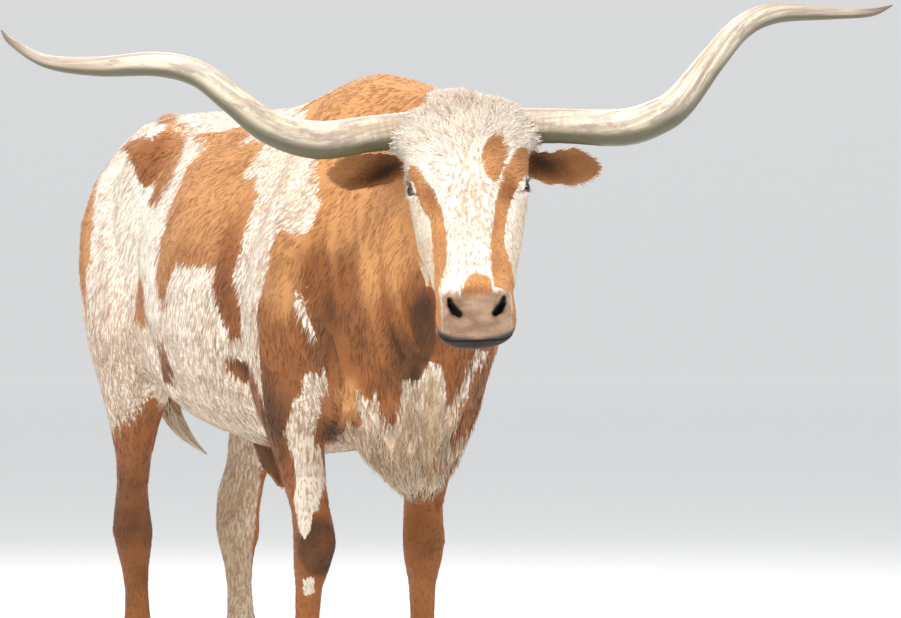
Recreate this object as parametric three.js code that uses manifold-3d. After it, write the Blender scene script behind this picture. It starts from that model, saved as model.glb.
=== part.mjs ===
// A standing Texas longhorn steer, life size, as a still museum model. Millimetres, +Z up, facing -Y.
// The body is lofted from sections, made whole, and parted into its named pieces by thin cuts.
import * as THREE from "three";
import { LoftGeometry } from "three/addons/geometries/LoftGeometry.js";
import { mergeVertices } from "three/addons/utils/BufferGeometryUtils.js";
import Module from "manifold-3d";

const wasm = await Module();
wasm.setup();

// Driving dimensions
const GAP = 0.4; // width of every parting cut
const FOOT_HALF_TRACK = 138; // hoof centre to the body's midline
const HOOF_HEIGHT = 72;
const KNEE_HEIGHT = 458;
const HOCK_HEIGHT = 425;
const EYE_RADIUS = 22;
const TRUNK_SIDES = 24;
const HEAD_SIDES = 20;
const LEG_SIDES = 12;

// Head carriage: the poll's top in the body frame, and the turns that face the head to the viewer
const POLL = new THREE.Vector3(11, -1056, 1425);
const HEAD_TURN = THREE.MathUtils.degToRad(18.6);
const FACE_SLOPE = THREE.MathUtils.degToRad(27);
const HEAD_ROLL = THREE.MathUtils.degToRad(-2);

const hide = (colour, roughness = 0.85) =>
  new THREE.MeshStandardMaterial({ color: colour, roughness, metalness: 0 });
const MATERIALS = {
  coat: hide(0xb98a62),
  horn: hide(0xcfc4a4, 0.45),
  hoof: hide(0x4a3a2c, 0.5),
  eye: hide(0x120d0a, 0.08),
  switch: hide(0xc9b79a, 0.9),
};

// A closed mesh becomes a solid once its shared vertices are merged
function solid(geometry) {
  const bare = new THREE.BufferGeometry();
  bare.setAttribute("position", geometry.attributes.position);
  bare.setIndex(geometry.index);
  const merged = mergeVertices(bare, 1e-3);
  return new wasm.Manifold(
    new wasm.Mesh({
      numProp: 3,
      vertProperties: new Float32Array(merged.attributes.position.array),
      triVerts: new Uint32Array(merged.index.array),
    }),
  );
}

function geometryOf(made) {
  const mesh = made.getMesh();
  const geometry = new THREE.BufferGeometry();
  geometry.setAttribute("position", new THREE.BufferAttribute(new Float32Array(mesh.vertProperties), 3));
  geometry.setIndex(new THREE.BufferAttribute(new Uint32Array(mesh.triVerts), 1));
  geometry.computeVertexNormals();
  return geometry;
}

const union = (solids) => solids.reduce((all, next) => all.add(next));
const largest = (made) => made.decompose().sort((a, b) => b.volume() - a.volume())[0];

// Rows of numbers are joined by smooth curves, column by column
function smoothRows(rows, perSpan) {
  const at = (i) => rows[Math.min(Math.max(i, 0), rows.length - 1)];
  const out = [];
  for (let i = 0; i < rows.length - 1; i++) {
    for (let k = 0; k < perSpan; k++) {
      const t = k / perSpan;
      out.push(
        rows[i].map((_, c) => {
          const [a, b, d, e] = [at(i - 1)[c], at(i)[c], at(i + 1)[c], at(i + 2)[c]];
          return b + 0.5 * t * (d - a + t * (2 * a - 5 * b + 4 * d - e + t * (3 * (b - d) + e - a)));
        }),
      );
    }
  }
  out.push(rows.at(-1));
  return out;
}

// One section: half width across, up and down reaches from the widest line, and how square each half is
function section(centre, across, up, { half, high, low, squareHigh, squareLow }, sides) {
  const points = [];
  for (let i = 0; i < sides; i++) {
    const a = (i / sides) * 2 * Math.PI;
    const [c, s] = [Math.cos(a), Math.sin(a)];
    const power = 2 / (s > 0 ? squareHigh : squareLow);
    const x = half * Math.sign(c) * Math.abs(c) ** power;
    const y = (s > 0 ? high : low) * Math.sign(s) * Math.abs(s) ** power;
    points.push(centre.clone().addScaledVector(across, x).addScaledVector(up, y));
  }
  return points;
}

// Muscles and bones that swell the surface: each pushes nearby points away from its own centre
function swell(points, masses) {
  for (const p of points) {
    for (const [x, y, z, reach, out, dx, dy, dz] of masses) {
      const away = p.distanceTo(new THREE.Vector3(x, y, z)) / reach;
      if (away < 2.2) p.addScaledVector(new THREE.Vector3(dx, dy, dz).normalize(), out * Math.exp(-away * away * 1.6));
    }
  }
}

// Skins sections into a closed solid, turning every ring round when they run clockwise
function loft(sections, masses = []) {
  sections.forEach((points) => swell(points, masses));
  const middle = (points) => points.reduce((sum, p) => sum.add(p), new THREE.Vector3()).divideScalar(points.length);
  const [start, next] = [middle(sections[0]), middle(sections[1])];
  const winding = new THREE.Vector3();
  sections[0].forEach((p, i, ring) => {
    const q = ring[(i + 1) % ring.length];
    winding.add(p.clone().sub(start).cross(q.clone().sub(start)));
  });
  const rings = winding.dot(next.sub(start)) > 0 ? sections : sections.map((points) => points.slice().reverse());
  return solid(new LoftGeometry(rings, { capStart: true, capEnd: true }));
}

// Trunk and neck, rump to poll: [top y, top z, bottom y, bottom z, half width, height share of the widest line,
// squareness above, squareness below, sideways lean]
const TRUNK = [
  [872, 1395, 850, 1265, 62, 0.5, 2, 2, 0],
  [850, 1435, 835, 1170, 112, 0.5, 2, 2, 0],
  [790, 1458, 775, 1010, 165, 0.55, 2, 2.2, 0],
  [680, 1463, 680, 860, 218, 0.62, 2, 2.3, 0],
  [560, 1462, 560, 765, 246, 0.66, 2.1, 2.4, 0],
  [430, 1458, 430, 702, 264, 0.66, 2.3, 2.5, 0],
  [290, 1452, 290, 676, 278, 0.56, 2.1, 2.3, 0],
  [120, 1447, 120, 664, 305, 0.5, 1.95, 2.2, 0],
  [-60, 1446, -60, 645, 318, 0.48, 1.85, 2.2, 0],
  [-230, 1455, -230, 640, 298, 0.47, 1.75, 2.2, 0],
  [-380, 1478, -380, 650, 262, 0.46, 1.65, 2.15, 0],
  [-510, 1500, -510, 668, 236, 0.45, 1.6, 2.1, 4],
  [-620, 1500, -640, 640, 230, 0.42, 1.6, 1.95, 10],
  [-720, 1486, -745, 558, 206, 0.42, 1.65, 1.6, 19],
  [-800, 1470, -835, 572, 170, 0.45, 1.75, 1.5, 24],
  [-868, 1455, -898, 715, 137, 0.5, 1.85, 1.6, 21],
  [-930, 1442, -935, 870, 110, 0.56, 2, 1.8, 21],
  [-1010, 1438, -985, 985, 102, 0.56, 2, 1.9, 20],
  [-1075, 1415, -1050, 1070, 92, 0.55, 2, 2, 18],
];
const TRUNK_MASSES = [-1, 1].flatMap((side) => [
  [side * 240, 420, 1385, 75, 20, side, 0, 0.5], // hip bone
  [side * 120, 835, 1290, 60, 22, side * 0.6, 1, 0.1], // pin bone
  [side * 235, 250, 1300, 120, -16, side, 0, 0.6], // hollow before the hip
  [side * 235, -640, 960, 90, 16, side * 0.7, -0.7, 0], // point of the shoulder
  [side * 110, -800, 1180, 150, -6, side, 0, 0], // hollow of the neck
]);

function trunkSections() {
  return TRUNK.map(([ty, tz, by, bz, half, share, squareHigh, squareLow, lean]) => {
    const top = new THREE.Vector3(lean, ty, tz);
    const bottom = new THREE.Vector3(lean, by, bz);
    const up = top.clone().sub(bottom);
    const tall = up.length();
    const centre = bottom.clone().addScaledVector(up, share);
    const reach = { half, high: tall * (1 - share), low: tall * share, squareHigh, squareLow };
    return section(centre, new THREE.Vector3(1, 0, 0), up.normalize(), reach, TRUNK_SIDES);
  });
}

// Legs, by height: [z, front y, back y, half width, centre x, squareness]
const FORELEG = [
  [60, -592, -494, 51, 138, 2.3],
  [100, -575, -486, 44, 138, 2.2],
  [140, -560, -470, 44, 139, 2.2],
  [175, -550, -452, 46, 140, 2.2],
  [215, -538, -466, 34, 140, 2.2],
  [290, -533, -472, 29, 141, 2.2],
  [360, -536, -470, 32, 142, 2.3],
  [412, -548, -466, 43, 143, 2.5],
  [KNEE_HEIGHT, -556, -464, 49, 144, 2.5],
  [505, -548, -456, 46, 145, 2.3],
  [545, -543, -450, 46, 147, 2.1],
  [610, -548, -432, 54, 151, 2],
  [700, -568, -400, 68, 158, 2],
  [790, -605, -368, 83, 166, 2],
  [890, -655, -352, 94, 174, 2],
  [990, -690, -360, 97, 180, 2],
  [1110, -680, -375, 88, 168, 2],
  [1230, -640, -390, 68, 140, 2],
  [1350, -600, -410, 48, 98, 2],
  [1440, -560, -440, 26, 55, 2],
];
const HINDLEG = [
  [60, 598, 704, 50, 138, 2.3],
  [100, 618, 712, 43, 138, 2.2],
  [140, 638, 730, 43, 139, 2.2],
  [175, 650, 746, 45, 140, 2.2],
  [215, 664, 738, 34, 141, 2.2],
  [280, 672, 742, 31, 143, 2.2],
  [335, 676, 752, 36, 146, 2.2],
  [380, 674, 768, 45, 148, 2.3],
  [HOCK_HEIGHT, 668, 782, 52, 150, 2.3],
  [470, 656, 798, 47, 151, 2.1],
  [515, 640, 804, 42, 152, 2],
  [560, 620, 786, 41, 154, 1.9],
  [620, 586, 768, 48, 157, 1.9],
  [700, 532, 764, 66, 162, 2],
  [790, 455, 780, 90, 168, 2],
  [880, 392, 806, 110, 173, 2],
  [980, 378, 834, 122, 175, 2],
  [1080, 395, 850, 126, 172, 2],
  [1190, 432, 858, 121, 165, 2],
  [1290, 470, 842, 98, 150, 2],
  [1380, 505, 800, 62, 122, 2],
  [1440, 540, 740, 28, 90, 2],
];
const legMasses = (side) => [
  [side * 215, -610, 1010, 110, 10, side, -0.3, 0], // shoulder joint
  [side * 190, -420, 850, 80, 9, side, 0.4, 0], // triceps
  [side * 230, 620, 1120, 130, 10, side, 0.2, 0], // thigh
  [side * 225, 430, 900, 60, 12, side * 0.8, -0.6, 0], // stifle
];

// How each leg stands: shift back of its upper and lower halves, the bent joint's shift back and its height, the
// lower half's shift inwards and the upper half's outwards, and how far the hind joints turn in to face each other
const STANCE = {
  foreleg_right: { upper: 0, lower: 0, bend: -42, joint: 478, inward: 8, outward: 0, turn: 0 },
  foreleg_left: { upper: -28, lower: 0, bend: 0, joint: 447, inward: 6, outward: 28, turn: 0 },
  hindleg_right: { upper: 20, lower: 20, bend: 0, joint: 425, inward: 10, outward: 0, turn: 16 },
  hindleg_left: { upper: -8, lower: 8, bend: 0, joint: 425, inward: 20, outward: 0, turn: 16 },
};

function stanceAt(name, z) {
  const { upper, lower, bend, joint, inward, outward, turn } = STANCE[name];
  const side = name.endsWith("right") ? -1 : 1;
  const share = THREE.MathUtils.smoothstep(z, 520, 860);
  const near = Math.exp(-(((z - joint) / 95) ** 2));
  const sideways = outward * share * (1 - THREE.MathUtils.smoothstep(z, 900, 1200));
  const tuck = inward * (1 - share) * (0.4 + 0.6 * Math.exp(-(((z - joint) / 170) ** 2)));
  const angle = THREE.MathUtils.degToRad(-side * turn * (1 - share));
  return {
    side,
    shift: new THREE.Vector3(side * (sideways - tuck), lower * (1 - share) + upper * share + bend * near, 0),
    across: new THREE.Vector3(Math.cos(angle), -Math.sin(angle), 0),
    back: new THREE.Vector3(Math.sin(angle), Math.cos(angle), 0),
  };
}

function legSections(rows, name) {
  return rows.map(([z, front, back, half, x, square]) => {
    const stance = stanceAt(name, z);
    const centre = new THREE.Vector3(stance.side * x, (front + back) / 2, z).add(stance.shift);
    const deep = (back - front) / 2;
    const reach = { half, high: deep, low: deep, squareHigh: square, squareLow: square };
    return section(centre, stance.across, stance.back, reach, LEG_SIDES);
  });
}

// The head, down the face: [distance from the poll, face side, throat side, half width, share of the widest line,
// squareness of the face, squareness of the jaw]
const HEAD = [
  [-12, -45, -105, 60, 0.5, 2, 2],
  [8, -12, -150, 108, 0.6, 2.2, 2],
  [42, 2, -185, 142, 0.7, 2.6, 2],
  [80, 8, -196, 160, 0.76, 3, 2],
  [125, 8, -220, 134, 0.76, 3, 1.9],
  [178, 8, -250, 124, 0.78, 3, 1.7],
  [215, 5, -266, 126, 0.76, 2.8, 1.7],
  [255, 0, -266, 119, 0.68, 2.5, 1.8],
  [300, -4, -240, 111, 0.62, 2.3, 1.9],
  [350, -6, -205, 100, 0.58, 2.2, 2],
  [400, -4, -178, 88, 0.55, 2.2, 2.1],
  [440, -1, -164, 82, 0.55, 2.3, 2.2],
  [470, -2, -158, 84, 0.55, 2.5, 2.3],
  [498, -12, -154, 86, 0.52, 2.5, 2.3],
  [520, -34, -144, 80, 0.5, 2.3, 2.2],
  [536, -62, -128, 60, 0.5, 2.1, 2.1],
];
const HEAD_MASSES = [-1, 1].flatMap((side) => [
  [side * 118, -30, -195, 38, 8, side, 0.6, 0.3], // brow over the eye
  [side * 92, -75, -318, 40, 6, side, 0.2, 0], // cheekbone
  [side * 112, -95, -120, 45, -12, side, 0, 0], // hollow of the temple
]);

// Head frame: x to the animal's right, y out of the face, z up the face to the poll
const headFrame = (() => {
  const facing = new THREE.Vector3(-Math.sin(HEAD_TURN), -Math.cos(HEAD_TURN), 0);
  const upright = new THREE.Vector3(0, 0, 1);
  const out = facing.clone().multiplyScalar(Math.cos(FACE_SLOPE)).addScaledVector(upright, Math.sin(FACE_SLOPE));
  const up = upright.clone().multiplyScalar(Math.cos(FACE_SLOPE)).addScaledVector(facing, -Math.sin(FACE_SLOPE));
  const right = new THREE.Vector3().crossVectors(out, up);
  const basis = new THREE.Matrix4().makeBasis(right, out, up);
  const roll = new THREE.Matrix4().makeRotationAxis(facing, -HEAD_ROLL);
  return new THREE.Matrix4().makeTranslation(POLL).multiply(roll).multiply(basis);
})();
const inHead = (x, y, z) => new THREE.Vector3(x, y, z).applyMatrix4(headFrame);

function headSections() {
  return HEAD.map(([t, face, throat, half, share, squareHigh, squareLow]) => {
    const tall = face - throat;
    const centre = new THREE.Vector3(0, throat + tall * share, -t);
    const reach = { half, high: tall * (1 - share), low: tall * share, squareHigh, squareLow };
    const points = section(centre, new THREE.Vector3(1, 0, 0), new THREE.Vector3(0, 1, 0), reach, HEAD_SIDES);
    swell(points, HEAD_MASSES);
    return points.map((p) => p.applyMatrix4(headFrame));
  });
}

// A tube of given radii along a curve: [x, y, z, radius]
function tube(rows, perSpan, sides) {
  const fine = smoothRows(rows, perSpan).map(([x, y, z, r]) => ({ p: new THREE.Vector3(x, y, z), r }));
  let across = new THREE.Vector3(0, 0, 1);
  const sections = fine.map(({ p, r }, i) => {
    const along = fine[Math.min(i + 1, fine.length - 1)].p.clone().sub(fine[Math.max(i - 1, 0)].p).normalize();
    across = across.clone().addScaledVector(along, -across.dot(along)).normalize();
    const up = new THREE.Vector3().crossVectors(along, across);
    return section(p, across, up, { half: r, high: r, low: r, squareHigh: 2, squareLow: 2 }, sides);
  });
  return loft(sections);
}

// Horns, from the skull out, in the head's turned but level frame: [out, up, forward, radius]
const RIGHT_HORN = [
  [112, -2, -12, 40],
  [200, -8, 14, 38.5],
  [310, -19, 52, 40.5],
  [408, 9, 72, 35.5],
  [484, 69, 78, 30.5],
  [554, 126, 68, 28],
  [640, 151, 42, 26],
  [765, 154, -18, 21],
  [873, 171, -70, 14.5],
  [947, 216, -110, 7.5],
  [969, 244, -126, 1.5],
];
const LEFT_HORN = [
  [112, -2, -12, 40],
  [200, -4, 14, 37],
  [326, -13, 52, 39.5],
  [398, 4, 69, 38],
  [450, 36, 77, 34.5],
  [522, 120, 74, 28],
  [590, 189, 52, 25],
  [668, 219, 20, 22],
  [792, 219, -38, 13.5],
  [886, 221, -80, 9],
  [936, 236, -102, 1.5],
];
const HORN_DOWN_FACE = 53; // poll's top to the line between the horn bases
const HORN_BEHIND_FACE = -46;
const hornRoot = inHead(0, HORN_BEHIND_FACE, -HORN_DOWN_FACE);

function horn(rows, side, grown = 0) {
  const left = new THREE.Vector3(Math.cos(HEAD_TURN), -Math.sin(HEAD_TURN), 0);
  const facing = new THREE.Vector3(-Math.sin(HEAD_TURN), -Math.cos(HEAD_TURN), 0);
  left.applyAxisAngle(facing, -HEAD_ROLL);
  const up = new THREE.Vector3().crossVectors(left, facing).negate();
  if (up.z < 0) up.negate();
  const placed = rows.map(([out, high, forward, r], i) => {
    const p = hornRoot.clone().addScaledVector(left, side * (i > 0 ? out : out - grown)).addScaledVector(up, high);
    p.addScaledVector(facing, forward);
    return [p.x, p.y, p.z, r + grown];
  });
  return tube(placed, 2, 10);
}

// Ears: a cupped leaf, hollow side forward. Along the ear: [share of length, half width, cup depth]
const EAR_LENGTH = 178;
const EAR_THICK = 5.5;
const EAR_SIDES = 12;
const EAR_ROOT = { out: 116, down: 119, behind: -92 };
const EAR = [
  [0, 22, 26],
  [0.12, 30, 28],
  [0.3, 41, 27],
  [0.5, 46, 22],
  [0.7, 40, 15],
  [0.86, 27, 8],
  [0.96, 13, 3],
  [1, 4, 1],
];

function ear(side, droop, grown = 0) {
  const root = new THREE.Vector3(side * EAR_ROOT.out, EAR_ROOT.behind, -EAR_ROOT.down);
  const along = new THREE.Vector3(side, -0.22, droop).normalize();
  const open = new THREE.Vector3(0, 1, -0.12).normalize();
  const across = new THREE.Vector3().crossVectors(along, open).multiplyScalar(side).normalize();
  const facing = new THREE.Vector3().crossVectors(across, along).multiplyScalar(side).normalize();
  const sections = EAR.map(([share, half, cup]) => {
    const centre = root.clone().addScaledVector(along, share * EAR_LENGTH - (share > 0 ? 0 : grown));
    const points = [];
    for (let i = 0; i < EAR_SIDES; i++) {
      const a = (i / EAR_SIDES) * 2 * Math.PI;
      const v = (Math.cos(a) * (half + grown)) / half;
      const lift = cup * (v * v - 0.75) + (EAR_THICK + grown) * Math.sin(a);
      points.push(centre.clone().addScaledVector(across, half * v).addScaledVector(facing, lift));
    }
    return points.map((p) => p.applyMatrix4(headFrame));
  });
  return loft(sections);
}

// Hooves: two claws to a foot, each flat on the ground: [z, toe y, heel y, half width, lean inwards]
const CLAW_HALF_SPACE = 26;
const CLAW = [
  [0, -70, 50, 24.5, 0],
  [12, -68, 51, 25, 0],
  [36, -56, 52, 24.5, 0],
  [HOOF_HEIGHT, -40, 50, 20, 1],
];

function claw(name, toe, footX, footY) {
  const { across, back: rear } = stanceAt(name, 0);
  const sections = CLAW.map(([z, front, back, half, lean]) => {
    const centre = new THREE.Vector3(footX, footY, z);
    centre.addScaledVector(across, toe * (CLAW_HALF_SPACE - lean)).addScaledVector(rear, (front + back) / 2);
    const deep = (back - front) / 2;
    const reach = { half, high: deep, low: deep, squareHigh: 2.4, squareLow: 2.1 };
    return section(centre, across, rear, reach, 10);
  });
  return loft(sections);
}

// Dewclaws: two short horn cones behind each fetlock: [distance back from the seat, drop, radius]
const DEWCLAW = [
  [-14, 3, 10],
  [8, -3, 11.5],
  [24, -20, 5],
];
const DEWCLAW_HALF_SPACE = 21;
const DEWCLAW_HEIGHT = 160;

function dewclaw(name, toe, rearY, grown = 0) {
  const { side, shift, across, back } = stanceAt(name, DEWCLAW_HEIGHT);
  const seat = new THREE.Vector3(side * FOOT_HALF_TRACK, rearY, DEWCLAW_HEIGHT).add(shift);
  seat.addScaledVector(across, toe * DEWCLAW_HALF_SPACE);
  const rows = DEWCLAW.map(([behind, drop, r], i) => {
    const p = seat.clone().addScaledVector(back, i > 0 ? behind : behind - grown);
    return [p.x, p.y, p.z + drop, r + grown];
  });
  return tube(rows, 1, 6);
}

const box = (x0, x1, y0, y1, z0, z1) => {
  const geometry = new THREE.BoxGeometry(x1 - x0, y1 - y0, z1 - z0);
  geometry.translate((x0 + x1) / 2, (y0 + y1) / 2, (z0 + z1) / 2);
  return solid(geometry);
};

// A tall slab with a tilted face, for parting. It fills the side of the plane that its normal points to
function halfSpace(point, normal, across = 3000, deep = 3000) {
  const geometry = new THREE.BoxGeometry(across, across, deep);
  geometry.translate(0, 0, deep / 2);
  const turn = new THREE.Quaternion().setFromUnitVectors(new THREE.Vector3(0, 0, 1), normal.clone().normalize());
  geometry.applyQuaternion(turn);
  geometry.translate(point.x, point.y, point.z);
  return solid(geometry);
}

const sphere = (centre, radius, wide = 11, high = 8) => {
  const geometry = new THREE.SphereGeometry(radius, wide, high);
  geometry.translate(centre.x, centre.y, centre.z);
  return solid(geometry);
};

const animal = new THREE.Group();
animal.name = "longhorn";
function add(name, made, material) {
  const mesh = new THREE.Mesh(geometryOf(made), MATERIALS[material]);
  mesh.name = name;
  animal.add(mesh);
}

// Cuts a solid by a plane and returns the part in front and the part behind, a gap apart
function part(made, point, normal) {
  const n = normal.clone().normalize();
  const ahead = halfSpace(point.clone().addScaledVector(n, GAP / 2), n);
  const behind = halfSpace(point.clone().addScaledVector(n, -GAP / 2), n.clone().negate());
  return [made.intersect(ahead), made.intersect(behind)];
}

// The legs
const SIDES = { right: -1, left: 1 };
const legs = {};
for (const [word, side] of Object.entries(SIDES)) {
  legs["foreleg_" + word] = loft(legSections(FORELEG, "foreleg_" + word), legMasses(side));
  legs["hindleg_" + word] = loft(legSections(HINDLEG, "hindleg_" + word), legMasses(side));
}

// The trunk with the legs grown into it, then each leg parted off
let body = loft(trunkSections(), TRUNK_MASSES);
const TAIL = [
  [0, 800, 1425, 42],
  [0, 862, 1443, 33],
  [-2, 912, 1428, 29],
  [-6, 936, 1370, 25],
  [-10, 938, 1260, 22],
  [-12, 930, 1110, 19],
  [-12, 922, 970, 17],
  [-8, 918, 860, 17],
];
const SWITCH = [
  [-8, 918, 856, 17.5],
  [-4, 917, 800, 27],
  [6, 914, 740, 31],
  [28, 908, 685, 27],
  [62, 900, 640, 16],
  [104, 892, 606, 3],
];
body = union([body, ...Object.values(legs)]);
const SHEATH = [
  [4, 120, 690, 62],
  [6, 108, 640, 52],
  [8, 84, 602, 36],
  [8, 66, 574, 23],
  [8, 58, 556, 9],
];
const [sheathRoot, sheath] = part(tube(SHEATH, 1, 12), new THREE.Vector3(0, 0, 638), new THREE.Vector3(0, 0, 1));
const tail = tube(TAIL, 1, 10);
const tailSeat = tube(TAIL.map(([x, y, z, r], i) => [x, i > 0 ? y : y - GAP, z, r + GAP]), 1, 10);

for (const [word, side] of Object.entries(SIDES)) {
  const limits = {
    foreleg: { inner: 84, outer: 420, front: -700, back: -345, top: 800, tilt: 0.12 },
    hindleg: { inner: 40, outer: 420, front: 330, back: 900, top: 905, tilt: 0.3 },
  };
  for (const [kind, at] of Object.entries(limits)) {
    const name = kind + "_" + word;
    const [x0, x1] = side < 0 ? [-at.outer, -at.inner] : [at.inner, at.outer];
    const wide = box(x0, x1, at.front, at.back, -10, 1400);
    const point = new THREE.Vector3(side * 160, (at.front + at.back) / 2, at.top);
    const normal = new THREE.Vector3(side * 0.35, kind === "hindleg" ? at.tilt : -at.tilt, -1);
    const below = halfSpace(point, normal);
    const cutter = wide.intersect(below);
    const gapped = wide.intersect(halfSpace(point.clone().addScaledVector(normal.normalize(), -GAP), normal));
    const whole = largest(body.intersect(cutter));
    const grown = box(
      side < 0 ? x0 : x0 - GAP,
      side < 0 ? x1 + GAP : x1,
      at.front - GAP,
      at.back + GAP,
      -10,
      1400,
    ).intersect(halfSpace(point.clone().addScaledVector(normal, -GAP), normal));
    body = largest(body.subtract(grown).subtract(gapped));
    const jointZ = kind === "foreleg" ? KNEE_HEIGHT - 45 : HOCK_HEIGHT - 55;
    const [lower, upper] = part(whole, new THREE.Vector3(0, 0, jointZ), new THREE.Vector3(0, 0, -1));
    const coronet = HOOF_HEIGHT + GAP;
    const rearY = kind === "foreleg" ? -464 : 737;
    const spurs = [side, -side].map((toe) => [dewclaw(name, toe, rearY), dewclaw(name, toe, rearY, GAP)]);
    const cannon = lower
      .intersect(box(-600, 600, -900, 1000, coronet, jointZ + 10))
      .subtract(union(spurs.map(([, seat]) => seat)));
    spurs.forEach(([spur], i) => add("dewclaw_" + name + (i ? "_inner" : "_outer"), spur, "hoof"));
    add(name + "_upper", largest(upper), "coat");
    add(name + "_lower", largest(cannon), "coat");
  }
}

// The neck, the head and the lower jaw
const eyes = { right: inHead(106, -36, -210), left: inHead(-106, -36, -210) };
const horns = { right: horn(RIGHT_HORN, -1), left: horn(LEFT_HORN, 1) };
const ears = { right: ear(1, 0.06), left: ear(-1, -0.08) };
let head = loft(headSections());
const neckCut = new THREE.Vector3(0, -690, 1100);
const [neckAhead, trunkBehind] = part(body, neckCut, new THREE.Vector3(0.0, -1, 0.42));
let neck = largest(neckAhead);
let trunk = largest(trunkBehind);
const nape = inHead(0, -175, -60);
const napeNormal = inHead(0, -0.89, 0.45).sub(inHead(0, 0, 0));
const [neckEnd, headEnd] = part(head.add(neck), nape, napeNormal);
neck = largest(neckEnd);
head = largest(headEnd);
for (const [word] of Object.entries(SIDES)) {
  head = head.subtract(sphere(eyes[word], EYE_RADIUS + GAP));
}
const nostrilAt = (side) => inHead(side * 46, -20, -492);
for (const side of [-1, 1]) head = head.subtract(sphere(nostrilAt(side), 15, 8, 6));
const mouth = inHead(0, -90, -530);
const jawNormal = inHead(0, -1, -0.35).sub(inHead(0, 0, 0));
const [jaw, skull] = part(head, mouth, jawNormal);
const seats = [horn(RIGHT_HORN, -1, GAP), horn(LEFT_HORN, 1, GAP), ear(-1, -0.08, GAP), ear(1, 0.06, GAP)];
head = largest(skull.subtract(union(seats)));
add("head", head, "coat");
add("lower_jaw", largest(jaw), "coat");
add("neck", neck, "coat");
add("trunk", trunk.add(sheathRoot).subtract(tailSeat), "coat");
add("sheath", sheath, "coat");
for (const [word] of Object.entries(SIDES)) {
  add("horn_" + word, horns[word], "horn");
  add("ear_" + word, ears[word], "coat");
  add("eye_" + word, sphere(eyes[word], EYE_RADIUS), "eye");
}
add("tail", tail, "coat");
add("tail_switch", tube(SWITCH, 1, 10), "switch");

// The feet
for (const name of Object.keys(STANCE)) {
  const { side, shift } = stanceAt(name, 0);
  const footY = (name.startsWith("fore") ? -540 : 654) + shift.y;
  for (const [toeWord, toe] of [
    ["outer", side],
    ["inner", -side],
  ]) {
    add("hoof_" + name + "_" + toeWord, claw(name, toe, side * FOOT_HALF_TRACK + shift.x, footY), "hoof");
  }
}

// The middle of the animal's box goes over the origin, its soles on the floor
const bounds = new THREE.Box3().setFromObject(animal);
const middle = bounds.getCenter(new THREE.Vector3());
animal.position.set(-middle.x, -middle.y, -bounds.min.z);

export default animal;
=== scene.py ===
import math

import bmesh
import bpy
import numpy as np
from mathutils import Matrix, Vector
from mathutils.bvhtree import BVHTree


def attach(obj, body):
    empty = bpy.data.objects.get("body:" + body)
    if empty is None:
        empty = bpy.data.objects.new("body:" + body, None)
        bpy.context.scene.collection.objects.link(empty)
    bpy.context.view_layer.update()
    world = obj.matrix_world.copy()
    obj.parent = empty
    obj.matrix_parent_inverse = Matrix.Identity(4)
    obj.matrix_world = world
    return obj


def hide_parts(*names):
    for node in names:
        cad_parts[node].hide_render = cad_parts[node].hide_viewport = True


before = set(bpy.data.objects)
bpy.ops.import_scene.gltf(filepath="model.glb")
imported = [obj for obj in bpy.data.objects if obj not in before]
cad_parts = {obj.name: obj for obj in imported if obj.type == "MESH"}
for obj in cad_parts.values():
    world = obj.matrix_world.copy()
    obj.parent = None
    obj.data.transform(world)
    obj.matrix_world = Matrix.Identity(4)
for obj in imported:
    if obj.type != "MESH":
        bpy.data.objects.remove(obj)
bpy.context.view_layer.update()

# Camera and studio: a level camera with a long lens stands about nine metres in front of the animal and to
# its right. Soft round lamps hang above and beside it, and a pale floor curves up into the backdrop far behind.
scene = bpy.context.scene
LENS = 172.608
SENSOR = 36
PICTURE_WIDE = 901
PICTURE_MIDDLE = (450.5, 309)
CAMERA_TURN = math.radians(22)
camera_data = bpy.data.cameras.new("camera")
camera_data.sensor_width = SENSOR
camera_data.lens = LENS
camera = bpy.data.objects.new("camera", camera_data)
camera.location = (-3.45234, -9.30710, 0.974)
camera.rotation_euler = (math.radians(90), 0, -CAMERA_TURN)
scene.collection.objects.link(camera)
scene.camera = camera
scene.view_settings.view_transform = "Standard"
scene.view_settings.look = "None"

world = bpy.data.worlds.new("studio")
world.use_nodes = True
world.node_tree.nodes["Background"].inputs["Color"].default_value = (0.93, 0.96, 1.0, 1)
world.node_tree.nodes["Background"].inputs["Strength"].default_value = 0.50
scene.world = world


def area_light(name, place, aim, width, power, colour):
    light = bpy.data.lights.new(name, "AREA")
    light.shape = "DISK"
    light.size = width
    light.energy = power
    light.color = colour
    lamp = bpy.data.objects.new(name, light)
    lamp.location = place
    lamp.rotation_euler = (Vector(aim) - Vector(place)).to_track_quat("-Z", "Y").to_euler()
    scene.collection.objects.link(lamp)


area_light("key", (-3.0, -4.6, 5.4), (-0.1, -0.3, 1.0), 2.2, 245, (1.0, 0.97, 0.92))
area_light("top", (-0.6, -1.3, 6.6), (0.0, -0.2, 1.2), 2.8, 250, (1.0, 0.98, 0.95))
area_light("fill", (4.5, -3.2, 3.6), (0.0, -0.2, 1.0), 3.0, 62, (0.94, 0.97, 1.0))
area_light("back", (1.5, 5.2, 4.6), (0.0, 0.3, 1.0), 3.0, 120, (1.0, 0.98, 0.95))
area_light("flank", (-5.6, 1.6, 3.0), (0.0, 0.2, 0.9), 3.0, 62, (1.0, 0.97, 0.93))

def place_object(name, mesh):
    made = bpy.data.objects.new(name, mesh)
    scene.collection.objects.link(made)
    return made


def new_look(name, **values):
    """A material whose shader has the named sockets set, with underscores for the spaces in their names."""
    look = bpy.data.materials.new(name)
    look.use_nodes = True
    for socket, value in values.items():
        look.node_tree.nodes["Principled BSDF"].inputs[socket.replace("_", " ")].default_value = value
    return look


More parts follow.
